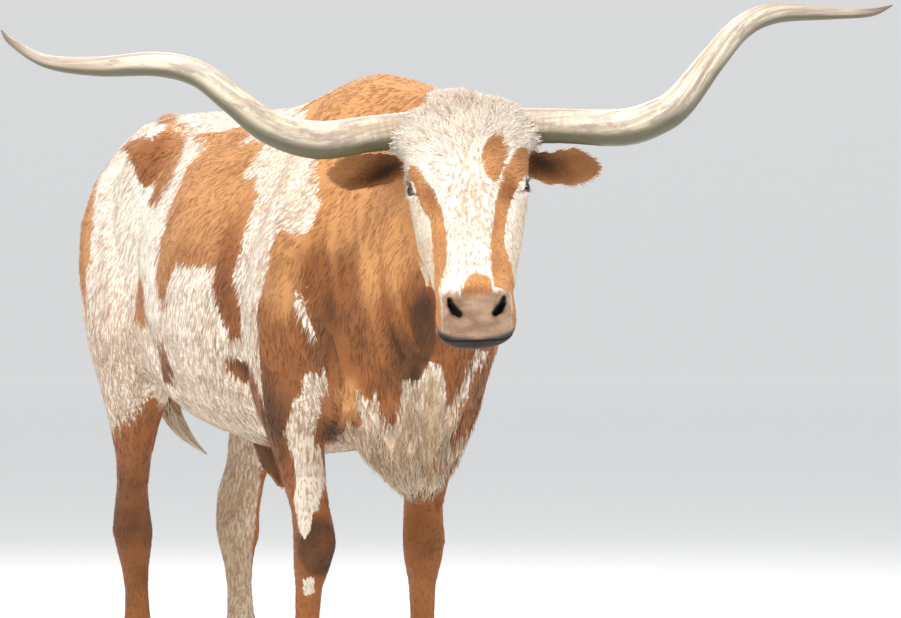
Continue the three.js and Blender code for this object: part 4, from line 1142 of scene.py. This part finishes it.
# Dark olive painted shade and reflection for the horn's underside.
HORN_UNDER_SHADE = (0.085, 0.078, 0.036, 1)
HORN_TIP = (0.19, 0.125, 0.075, 1)
horn_look = new_look("horn")
m = Nodes(horn_look.node_tree)
turned = m.mark("turned", "Vector")
share = m.mark("share")
streak = m.noise(m.stretched(turned, (3.2, 3.2, 2.2)), 1.0, 5.0, 0.62, 0.4)
fine = m.noise(m.stretched(turned, (16, 16, 5)), 1.0, 4.0, 0.6)
rings = m.noise(m.stretched(turned, (0.8, 0.8, 60)), 1.0, 3.0, 0.6)
ivory = m.mix(m.ramp(streak, 0.34, 0.66), HORN_TAN, HORN_IVORY)
ivory = m.mix(m.maths("MULTIPLY", m.ramp(fine, 0.50, 0.74), 0.35), ivory, HORN_SPECKS)
base = m.maths("ADD", m.ramp(share, 0.02, 0.30, 0.62, 0.0), m.swing(rings, 0.8))
ivory = m.mix(m.ramp(base, 0.15, 1.0), ivory, HORN_BASE)
blotch = m.noise(m.stretched(turned, (1.5, 1.5, 7.0)), 1.0, 5.0, 0.72)
ivory = m.mix(m.ramp(blotch, 0.46, 0.60, 0.0, 0.80), ivory, HORN_BLOTCH)
ivory = m.mix(m.ramp(share, 0.58, 0.80, 0.0, 0.50), ivory, HORN_OUTER)
# Painted shade and reflection on the underside.
lower = m.maths("ADD", m.mark("under"), m.swing(streak, 0.7))
ivory = m.mix(m.ramp(lower, 0.25, 1.0, 0.0, 0.97), ivory, HORN_UNDER_SHADE)
tip = m.maths("ADD", share, m.swing(streak, 0.18))
ivory = m.mix(m.ramp(tip, 0.88, 0.99), ivory, HORN_TIP)
m.feed("Base Color", ivory)
m.feed("Roughness", m.ramp(fine, 0.3, 0.75, 0.30, 0.50))
ridges = m.maths("MULTIPLY", rings, m.ramp(share, 0.05, 0.35, 1.0, 0.12))
m.feed("Normal", m.bump(m.maths("ADD", ridges, m.maths("MULTIPLY", fine, 0.3)), 0.5, 0.002))
horn_root = from_head((0, -0.046, -0.053))
level = np.array(tilt @ Vector((math.cos(HEAD_TURN), -math.sin(HEAD_TURN), 0)))
forward = np.array(facing)
upward = np.cross(forward, level)
upward = upward if upward[2] > 0 else -upward
HORN_SIDES = 44
for word, side in (("right", -1), ("left", 1)):
    rows = smooth_rows(HORNS[word], 12)
    rows[:, :3] /= 1000
    centres = horn_root + np.outer(side * rows[:, 0], level)
    centres = centres + np.outer(rows[:, 1], upward) + np.outer(rows[:, 2], forward)

    def wrinkled(far, angle, side=side):
        wave = math.sin(far * 460 + 1.3 * math.sin(far * 90))
        ridge = 0.030 * math.exp(-far / 0.10) * wave * (1 + 0.4 * np.cos(angle * 2 + far * 30))
        flutes = 0.008 * np.sin(angle * 5 + far * 9 + side) + 0.005 * np.sin(angle * 11 - far * 14)
        return 1 + ridge + flutes - 0.012

    made, angle, share = ring_tube(centres, rows[:, 3] / 1000, HORN_SIDES, wrinkled)
    length = np.linalg.norm(np.diff(centres, axis=0), axis=1).sum()
    twist = angle + share * 2.2
    turned = np.stack([np.cos(twist), np.sin(twist), share * length * 2 + side], 1)
    ring_centre = np.concatenate([np.repeat(centres, HORN_SIDES, axis=0), centres[:1], centres[-1:]])
    # How far the horn's surface faces down, for its painted underside shade.
    under = step(-unit(made - ring_centre)[:, 2], -0.20, 0.72)
    horn_marks = {"turned": turned, "share": share, "under": under}
    ringed_piece("long_horn_" + word, made, HORN_SIDES, horn_marks, horn_look, "horn_" + word)

# Hooves and dewclaws: two claws of dark horn to a foot, straight inside and bowed outside, with growth rings
# and a worn edge, and two small horn buttons behind each fetlock. All are rings of points, the dewclaws' round
# a short line.
HOOF_DARK, HOOF_LIGHT = (0.075, 0.050, 0.032, 1), (0.20, 0.145, 0.095, 1)
HOOF_GRAIN = (0.035, 0.024, 0.017, 1)
HOOF_CORONET = (0.33, 0.28, 0.21, 1)
hoof_look = new_look("hoof")
m = Nodes(hoof_look.node_tree)
turned = m.mark("turned", "Vector")
bands = m.noise(m.stretched(turned, (0.6, 0.6, 170)), 1.0, 3.0, 0.6, 0.3)
grain = m.noise(m.stretched(turned, (14, 14, 12)), 1.0, 4.0, 0.65)
horny = m.mix(m.ramp(bands, 0.35, 0.68), HOOF_DARK, HOOF_LIGHT)
horny = m.mix(m.maths("MULTIPLY", m.ramp(grain, 0.45, 0.75), 0.5), horny, HOOF_GRAIN)
horny = m.mix(m.ramp(m.mark("share"), 0.0, 0.16, 0.55, 0.0), horny, HOOF_CORONET)
m.feed("Base Color", horny)
m.feed("Roughness", m.ramp(grain, 0.3, 0.7, 0.42, 0.62))
m.feed("Normal", m.bump(m.maths("ADD", bands, m.maths("MULTIPLY", grain, 0.5)), 0.6, 0.0012))
CLAW = [  # height, front, rear and half width, in millimetres
    (0, -67, 48, 23.0), (2.5, -69.4, 50, 24.4), (12, -68, 50.6, 24.8), (24, -62, 51, 24.7), (36, -56, 51, 24.2),
    (54, -48, 50, 22.4), (74, -39, 49, 19.4),
]
CLAW_HEIGHT = 0.074
CLAW_OUT = 0.026
CLAW_SIDES = 40
DEWCLAW = [(-14, 3, 9.6), (-2, 0, 11.2), (10, -4, 10.8), (20, -13, 7.4), (24, -20, 4.4)]  # back, up, radius
DEWCLAW_HEIGHT = 0.160
DEWCLAW_OUT = 0.021
DEWCLAW_SIDES = 18
LEG_OUT = 0.138
CLAW_BACK = {"fore": -0.540, "hind": 0.654}
DEWCLAW_BACK = {"fore": -0.464, "hind": 0.737}


def seat_on_leg(leg, back, height):
    """A place on a leg's middle line, and the leg's own directions to the right and to the rear."""
    across, moved_back, turn = stand(leg, height)
    side = -1 if leg.endswith("right") else 1
    rightward = np.array([math.cos(turn), -math.sin(turn), 0])
    rearward = np.array([math.sin(turn), math.cos(turn), 0])
    return np.array([side * LEG_OUT + across + MIDLINE, back + moved_back + BACK, height]), rightward, rearward


for leg in STANCE:
    side = -1 if leg.endswith("right") else 1
    for toe_word, toe in (("outer", side), ("inner", -side)):
        foot, rightward, rearward = seat_on_leg(leg, CLAW_BACK[leg[:4]], 0)
        rows = smooth_rows(CLAW, 5) / 1000
        rows[:, 0] = np.maximum(rows[:, 0], 0)
        angle = np.arange(CLAW_SIDES) / CLAW_SIDES * 2 * np.pi
        cos, sin = np.cos(angle), np.sin(angle)
        rings = []
        for z, front, rear, half in rows:
            x = np.sign(cos) * np.abs(cos) ** 0.85 * half
            x = np.where(np.sign(cos) != toe, x * 0.94, x)
            bow = np.abs(sin) ** np.where(sin < 0, 1.02, 0.80)
            y = np.sign(sin) * bow * (rear - front) / 2 + (front + rear) / 2
            x = x - toe * 0.0035 * step(-y, 0.02, 0.07)
            x = x * (1 + 0.010 * math.sin(z * 720) * (z > 0.004)) + toe * CLAW_OUT
            rings.append(foot + np.outer(x, rightward) + np.outer(y, rearward) + (0, 0, z))
        made = np.concatenate(rings + [rings[0].mean(0, keepdims=True), rings[-1].mean(0, keepdims=True)])
        spin = np.append(np.tile(angle, len(rows)), [0, 0])
        turned = np.stack([np.cos(spin), np.sin(spin), made[:, 2] + 0.3 * toe + foot[1]], 1)
        share = np.append(np.repeat(1 - rows[:, 0] / CLAW_HEIGHT, CLAW_SIDES), [1.0, 0.0])
        hoof_marks = {"turned": turned, "share": share}
        toe_name = f"{leg}_{toe_word}"
        ringed_piece("claw_" + toe_name, made, CLAW_SIDES, hoof_marks, hoof_look, "hoof_" + toe_name)

        fetlock, rightward, rearward = seat_on_leg(leg, DEWCLAW_BACK[leg[:4]], DEWCLAW_HEIGHT)
        rows = smooth_rows(DEWCLAW, 3) / 1000
        centres = fetlock + rightward * toe * DEWCLAW_OUT
        centres = centres + np.outer(rows[:, 0], rearward) + np.outer(rows[:, 1], (0, 0, 1))
        made, angle, share = ring_tube(centres, rows[:, 2], DEWCLAW_SIDES)
        hoof_marks = {"turned": np.stack([np.cos(angle), np.sin(angle), share * 0.05], 1), "share": share}
        node = "dewclaw_" + toe_name
        ringed_piece("button_" + toe_name, made, DEWCLAW_SIDES, hoof_marks, hoof_look, node)

# Coat: short dense hair, longer and curled on the poll, with fringes at the ears, horns, brisket, fetlocks and
# coronets. It is made of closed three-sided locks that taper to a point, rooted in the skin and combed along
# it, in pieces of one kind of lock each.
rng = np.random.default_rng(7)
points = points_of(hide_mesh)
normals = normals_of(hide_mesh)
corners = np.empty(len(hide_mesh.polygons) * 3, np.int32)
hide_mesh.polygons.foreach_get("vertices", corners)
corners = corners.reshape(-1, 3)
edge_a = points[corners[:, 1]] - points[corners[:, 0]]
edge_b = points[corners[:, 2]] - points[corners[:, 0]]
area = np.linalg.norm(np.cross(edge_a, edge_b), axis=1) / 2
local = in_head(points)


def roots(density, count):
    """Root places spread over the skin by a density at its points, with what the skin says there."""
    share = area * density[corners].mean(1)
    total = np.cumsum(share)
    pick = np.searchsorted(total, (np.arange(count) + rng.random(count)) / count * total[-1])
    pick = np.minimum(pick, len(area) - 1)
    a, b = rng.random(count), rng.random(count)
    a, b = np.where(a + b > 1, 1 - a, a), np.where(a + b > 1, 1 - b, b)
    part = np.stack([1 - a - b, a, b], 1)

    def at(values):
        picked = values[corners[pick]]
        return (picked * (part[:, :, None] if values.ndim == 2 else part)).sum(1)

    fields = {name: at(values) for name, values in FIELDS.items()}
    return at(points), unit(at(normals)), unit(at(flow)), fields


def spot_on_skin(p):
    """Each root's place on the skin unrolled: trunk, head and legs as cylinders cut open, side by side."""
    h = in_head(p)
    on_head = (past_nape(h) > 0) & (h[:, 1] > -0.272) & (h[:, 2] > -0.56)
    u = 0.02 + 0.60 * (np.arctan2(p[:, 0] - MIDLINE, p[:, 2] - 1.08) / (2 * np.pi) + 0.5)
    v = 0.02 + 0.96 * np.clip((p[:, 1] + 1.15) / 2.3, 0, 1)
    hu = 0.65 + 0.33 * (np.arctan2(h[:, 0], h[:, 1] + 0.11) / (2 * np.pi) + 0.5)
    hv = 0.52 + 0.46 * np.clip((h[:, 2] + 0.56) / 0.62, 0, 1)
    on_ear = on_head & (np.abs(h[:, 0]) > 0.13) & (h[:, 2] > -0.2) & (h[:, 1] < -0.035)
    hu = np.where(on_ear, 0.66 + 0.30 * np.clip((h[:, 0] + 0.32) / 0.64, 0, 1), hu)
    hv = np.where(on_ear, 0.42 + 0.08 * np.clip((-h[:, 2] - 0.04) / 0.16, 0, 1), hv)
    leg = (p[:, 2] < 0.62) & (np.abs(p[:, 0] - MIDLINE) > 0.05)
    which = 2 * (p[:, 1] > BACK) + (p[:, 0] > MIDLINE)
    middle_x = MIDLINE + np.sign(p[:, 0] - MIDLINE) * 0.142
    middle_y = BACK + np.where(p[:, 1] > BACK, 0.715, -0.505)
    lu = 0.65 + 0.08 * which + 0.07 * (np.arctan2(p[:, 1] - middle_y, p[:, 0] - middle_x) / (2 * np.pi) + 0.5)
    lv = 0.02 + 0.36 * np.clip(p[:, 2] / 0.62, 0, 1)
    tail = (p[:, 1] > 1.05) & ~leg
    u, v = np.where(on_head, hu, u), np.where(on_head, hv, v)
    u, v = np.where(leg, lu, u), np.where(leg, lv, v)
    u = np.where(tail, 0.975 + 0.2 * np.clip(p[:, 0] - MIDLINE, -0.05, 0.05), u)
    v = np.where(tail, 0.02 + 0.36 * np.clip(p[:, 2] / 1.5, 0, 1), v)
    return np.stack([u, v], 1)


PATCH = 0.003
PIECE_TRIANGLES = 190000


def locks(name, paths, half, over, fields):
    """Joined meshes of locks. Paths run from root to tip, and every lock keeps the marks of its root."""
    n, k, _ = paths.shape
    over = np.repeat(over[:, None], k - 1, axis=1)
    run = unit(np.gradient(paths, axis=1))[:, :-1]
    across = unit(np.cross(over, run))
    top = np.cross(run, across)
    taper = 1 - 0.35 * np.abs(np.linspace(-0.6, 1, k - 1))
    wide = np.broadcast_to(half, n)[:, None, None] * taper[None, :, None]
    body = paths[:, :-1]
    ring = np.stack([body + across * wide, body + top * wide * 0.5, body - across * wide], 2).reshape(n, -1, 3)
    shape = np.concatenate([ring, paths[:, -1:]], 1)
    size_of = shape.shape[1]
    faces = [(0, 2, 1)]
    for i in range(k - 2):
        for p, q in ((0, 1), (1, 2), (2, 0)):
            faces += [(3 * i + p, 3 * i + q, 3 * i + 3 + q), (3 * i + p, 3 * i + 3 + q, 3 * i + 3 + p)]
    last = 3 * (k - 2)
    faces += [(last, last + 1, size_of - 1), (last + 1, last + 2, size_of - 1), (last + 2, last, size_of - 1)]
    faces = np.array(faces)
    share = np.append(np.repeat(np.linspace(0, 1, k)[:-1], 3), 1.0)
    patch = np.stack([share - 0.5, np.append(np.tile([0.0, 0.5, 1.0], k - 1), 0.5) - 0.5], 1) * PATCH
    tone = rng.random(n)
    spot = spot_on_skin(paths[:, 0])
    most = PIECE_TRIANGLES // len(faces)
    order = np.lexsort((np.round(paths[:, 0, 0], 1), np.round(paths[:, 0, 1], 1)))
    for number, start in enumerate(range(0, n, most)):
        use = order[start : start + most]
        corners = (faces[None] + (np.arange(len(use)) * size_of)[:, None, None]).reshape(-1, 3)
        mesh = mesh_from(f"{name}_{number + 1}", shape[use].reshape(-1, 3), corners)
        marks = {key: np.repeat(values[use], size_of, axis=0) for key, values in fields.items()}
        marks["tip"] = np.tile(share, len(use))
        marks["tone"] = np.repeat(tone[use], size_of)
        layer = mesh.uv_layers.new(name="OFBake")
        flat = (spot[use][:, None] + patch[None]).reshape(-1, 2)[corners.ravel()]
        layer.data.foreach_set("uv", flat.astype(np.float32).ravel())
        add_piece(f"{name}_{number + 1}", mesh, marks, hair_look)


def lying(place, over, run, length, lift, spread, bends):
    """Paths of locks that leave the skin along the lie of the hair and bend back towards it."""
    n = len(place)
    turn = rng.normal(0, spread, n)
    swirl = 0.30 * np.sin(place[:, 1] * 23 + place[:, 2] * 9) * np.sin(place[:, 2] * 31 + place[:, 0] * 17)
    across = np.cross(over, run)
    run = unit(run + across * (turn + swirl)[:, None])
    t = np.linspace(0, 1, bends)[None, :, None]
    length = length * (0.75 + 0.5 * rng.random(n))
    lift = lift * (0.6 + 0.8 * rng.random(n))
    rise = (1.55 * t - 0.55 * t * t) * lift[:, None, None]
    sunk = place[:, None] - over[:, None] * 0.0006
    return sunk + run[:, None] * length[:, None, None] * t + over[:, None] * rise


def waved(place, over, run, length, lift, spread, bends, wave):
    """Paths of lying locks with a wave to the side and up that grows towards the tip."""
    paths = lying(place, over, run, length, lift, spread, bends)
    t = np.linspace(0, 1, bends)[None, :]
    turned = t * 6.28 * 1.2 + rng.random(len(place))[:, None] * 6.28
    sideways = np.cross(over, run)[:, None] * (wave * t * np.sin(turned))[:, :, None]
    return paths + sideways + over[:, None] * (0.5 * wave * t * np.cos(turned))[:, :, None]


def coat(name, density, count, half, length, lift, spread, bends=3, wave=0, comb_to=None, rising=None):
    """Locks of one kind, rooted by a density. With rising, sizes are pairs for the face's low and high part."""
    place, over, run, fields = roots(density * 1.0, count)
    if rising:
        up = step(in_head(place)[:, 2], *rising)
        half, length, lift = (low + (high - low) * up for low, high in (half, length, lift))
    if comb_to:
        run = comb_to(place, run)
    if wave:
        paths = waved(place, over, run, length, lift, spread, bends, wave)
    else:
        paths = lying(place, over, run, length, lift, spread, bends)
    locks(name, paths, half, over, fields)


def onto_horn(place, run):
    return unit(run * 0.6 + np.sign(in_head(place)[:, 0])[:, None] * HEAD[:, 0])


def onto_hoof(place, run):
    return unit(run + (0, 0, -0.8))


z = points[:, 2]
open_skin = (1 - np.clip(bare + dark, 0, 1)) ** 2
out_of_face = (normals @ HEAD)[:, 1]
poll = is_head & ~is_ear & (local[:, 2] > -0.135) & (local[:, 1] > -0.165) & (x_out < 0.15)
horn_line = in_head(horn_root + level) - in_head(horn_root)
from_horn = np.linalg.norm(np.cross(local - in_head(horn_root), horn_line), axis=1)
body_part = ~is_head & (z > 0.60) & ~is_tail
leg_part = ~is_head & (z <= 0.62) & (z > 0.075)
head_part = is_head * ~is_ear * open_skin * (1 + 1.2 * (local[:, 1] > -0.06))
crown = poll * (0.25 + step(local[:, 2], -0.13, -0.06)) * open_skin
brisket = ~is_head & (body[:, 1] < -0.70) & (z < 0.80) & (z > 0.52)
feather = ~is_head & (z > 0.11) & (z < 0.20) & (normals[:, 1] > 0.2)
coronet = ~is_head & (z > 0.070) & (z < 0.098)
collar = is_head & ~is_ear & (from_horn < 0.055) & (x_out > 0.10)

coat("body_coat", body_part, 62000, 0.0011, 0.021, 0.0024, 0.12)
coat("leg_coat", leg_part, 15000, 0.0008, 0.0125, 0.0015, 0.12)
face_sizes = ((0.0006, 0.0009), (0.009, 0.017), (0.0012, 0.0030))
coat("head_coat", head_part, 20000, *face_sizes, 0.16, rising=(-0.26, -0.06))
curl_sizes = ((0.0011, 0.0011), (0.017, 0.025), (0.0022, 0.0042))
coat("poll_curls", crown, 5200, *curl_sizes, 0.26, 5, 0.0026, rising=(-0.13, -0.02))
coat("ear_backs", is_ear & (out_of_face < 0.25), 2600, 0.0007, 0.013, 0.0016, 0.2)
coat("ear_fringe", is_ear & (out_of_face > 0.0), 1900, 0.0007, 0.015, 0.0035, 0.30, 5, 0.0018)
coat("brisket_hair", brisket * (1.1 - step(z, 0.6, 0.8)), 1500, 0.0011, 0.034, 0.006, 0.22, 5, 0.003)
coat("tail_hair", is_tail, 3600, 0.0010, 0.026, 0.004, 0.12)
coat("fetlock_hair", feather, 900, 0.0009, 0.026, 0.005, 0.25, 5, 0.003)
coat("coronet_hair", coronet, 2600, 0.0009, 0.020, 0.004, 0.12, 4, comb_to=onto_hoof)
coat("horn_collar", collar, 900, 0.0010, 0.020, 0.0045, 0.25, 5, 0.002, comb_to=onto_horn)

# Eyelashes: single stiff dark hairs along the edge of each upper lid, as on all cattle. Each is a thin lock
# that starts at the lid, leans outwards and curls up.
lash_paths, lash_over = [], []
for side in (1, -1):
    look, along, above = eye_axes(side)
    for x in np.linspace(-0.86, 0.80, 46):
        up = (1 - x * x) * 0.0118 + 0.0006
        start = unit(look * 0.024 + along * x * EYE_HALF_LONG + above * up) * 0.0252
        length = 0.010 + 0.006 * rng.random()
        t = np.linspace(0, 1, 5)[:, None]
        way = look * 0.9 + above * 0.25 + along * (x * 0.5 + rng.normal(0, 0.12))
        path = EYES[side] + start + way * length * t + (above * 0.55 - look * 0.2) * length * t * t
        lash_paths.append(from_head(path))
        lash_over.append(above @ HEAD.T)
LASH_MARKS = {"ragged": 1.0, "brown": 0.0, "roan": 0.0, "deep": 0.8, "cream": 0.5, "bare": 0.0, "dark": 0.75}


def marks_for(paths, **changed):
    """The marks of a lash for each path, with some of them changed."""
    chosen = {**LASH_MARKS, **changed}
    fields = {name: np.zeros(len(paths)) + value for name, value in chosen.items()}
    return {**fields, "comb": paths[:, 0].copy()}


lash_paths = np.array(lash_paths)
locks("lashes", lash_paths, 0.00042, np.array(lash_over), marks_for(lash_paths))

# Tail switch: the long coarse hair that ends the tail, brown above and pale towards the end. A tapering core
# in the tail's line fills it, and long loose locks start along that line and hang from it.
SWITCH_CORE = [  # across, back, up and radius, in millimetres
    (-8, 918, 866, 16), (-5, 918, 830, 15), (-2, 916, 790, 15), (6, 914, 740, 14), (28, 908, 685, 10),
    (58, 901, 645, 5), (80, 897, 628, 1.5),
]
SWITCH_LINE = [
    (-8, 918, 900, 15), (-7, 918, 860, 17), (-4, 917, 800, 26), (6, 914, 740, 30), (28, 908, 685, 27),
    (62, 900, 640, 17), (104, 892, 606, 3),
]
CORE_SIDES = 16
rows = smooth_rows(SWITCH_CORE, 5) / 1000
made, angle, share = ring_tube(rows[:, :3] + (MIDLINE, BACK, 0), rows[:, 3], CORE_SIDES)
core_marks = marks_for(made[:, None], brown=0.6 - 1.6 * share, deep=0.55, dark=0.0, tip=0.2, tone=0.6)
ringed_piece("switch_core", made, CORE_SIDES, core_marks, skin_look, "tail_switch")
line = smooth_rows(SWITCH_LINE, 8) / 1000
line[:, :3] += (MIDLINE, BACK, 0)
count = 2300
start = rng.random(count) ** 1.25 * 0.62
finish = np.minimum(start + 0.26 + 0.30 * rng.random(count), 1.0)
round_at = rng.random(count) * 2 * np.pi
depth_in = np.sqrt(rng.random(count) * 0.75 + 0.25)
steps = np.linspace(0, 1, 8)
at = (start[:, None] + (finish - start)[:, None] * steps) * (len(line) - 1)
low = np.clip(at.astype(int), 0, len(line) - 2)
part = (at - low)[:, :, None]
middle = line[low] * (1 - part) + line[low + 1] * part
spread = middle[:, :, 3] * np.interp(steps, [0, 0.35, 1], [0.75, 1.0, 0.9]) * depth_in[:, None]
round_line = round_at[:, None] + 0.35 * np.sin(steps * 5 + round_at[:, None] * 3)
offset = np.stack([np.cos(round_line), np.sin(round_line), 0 * round_line], 2) * spread[:, :, None]
paths = middle[:, :, :3] + offset
over = unit(offset[:, 0])
brown_share = -1.0 + 1.7 * step(0.42 - start + rng.normal(0, 0.10, count), 0.0, 0.25)
deep_share = 0.45 + 0.2 * rng.random(count)
cream_share = 0.55 + 0.4 * rng.random(count)
switch_marks = marks_for(paths, dark=0.0, roan=0.2, brown=brown_share, deep=deep_share, cream=cream_share)
locks("switch_locks", paths, 0.0013, over, switch_marks)
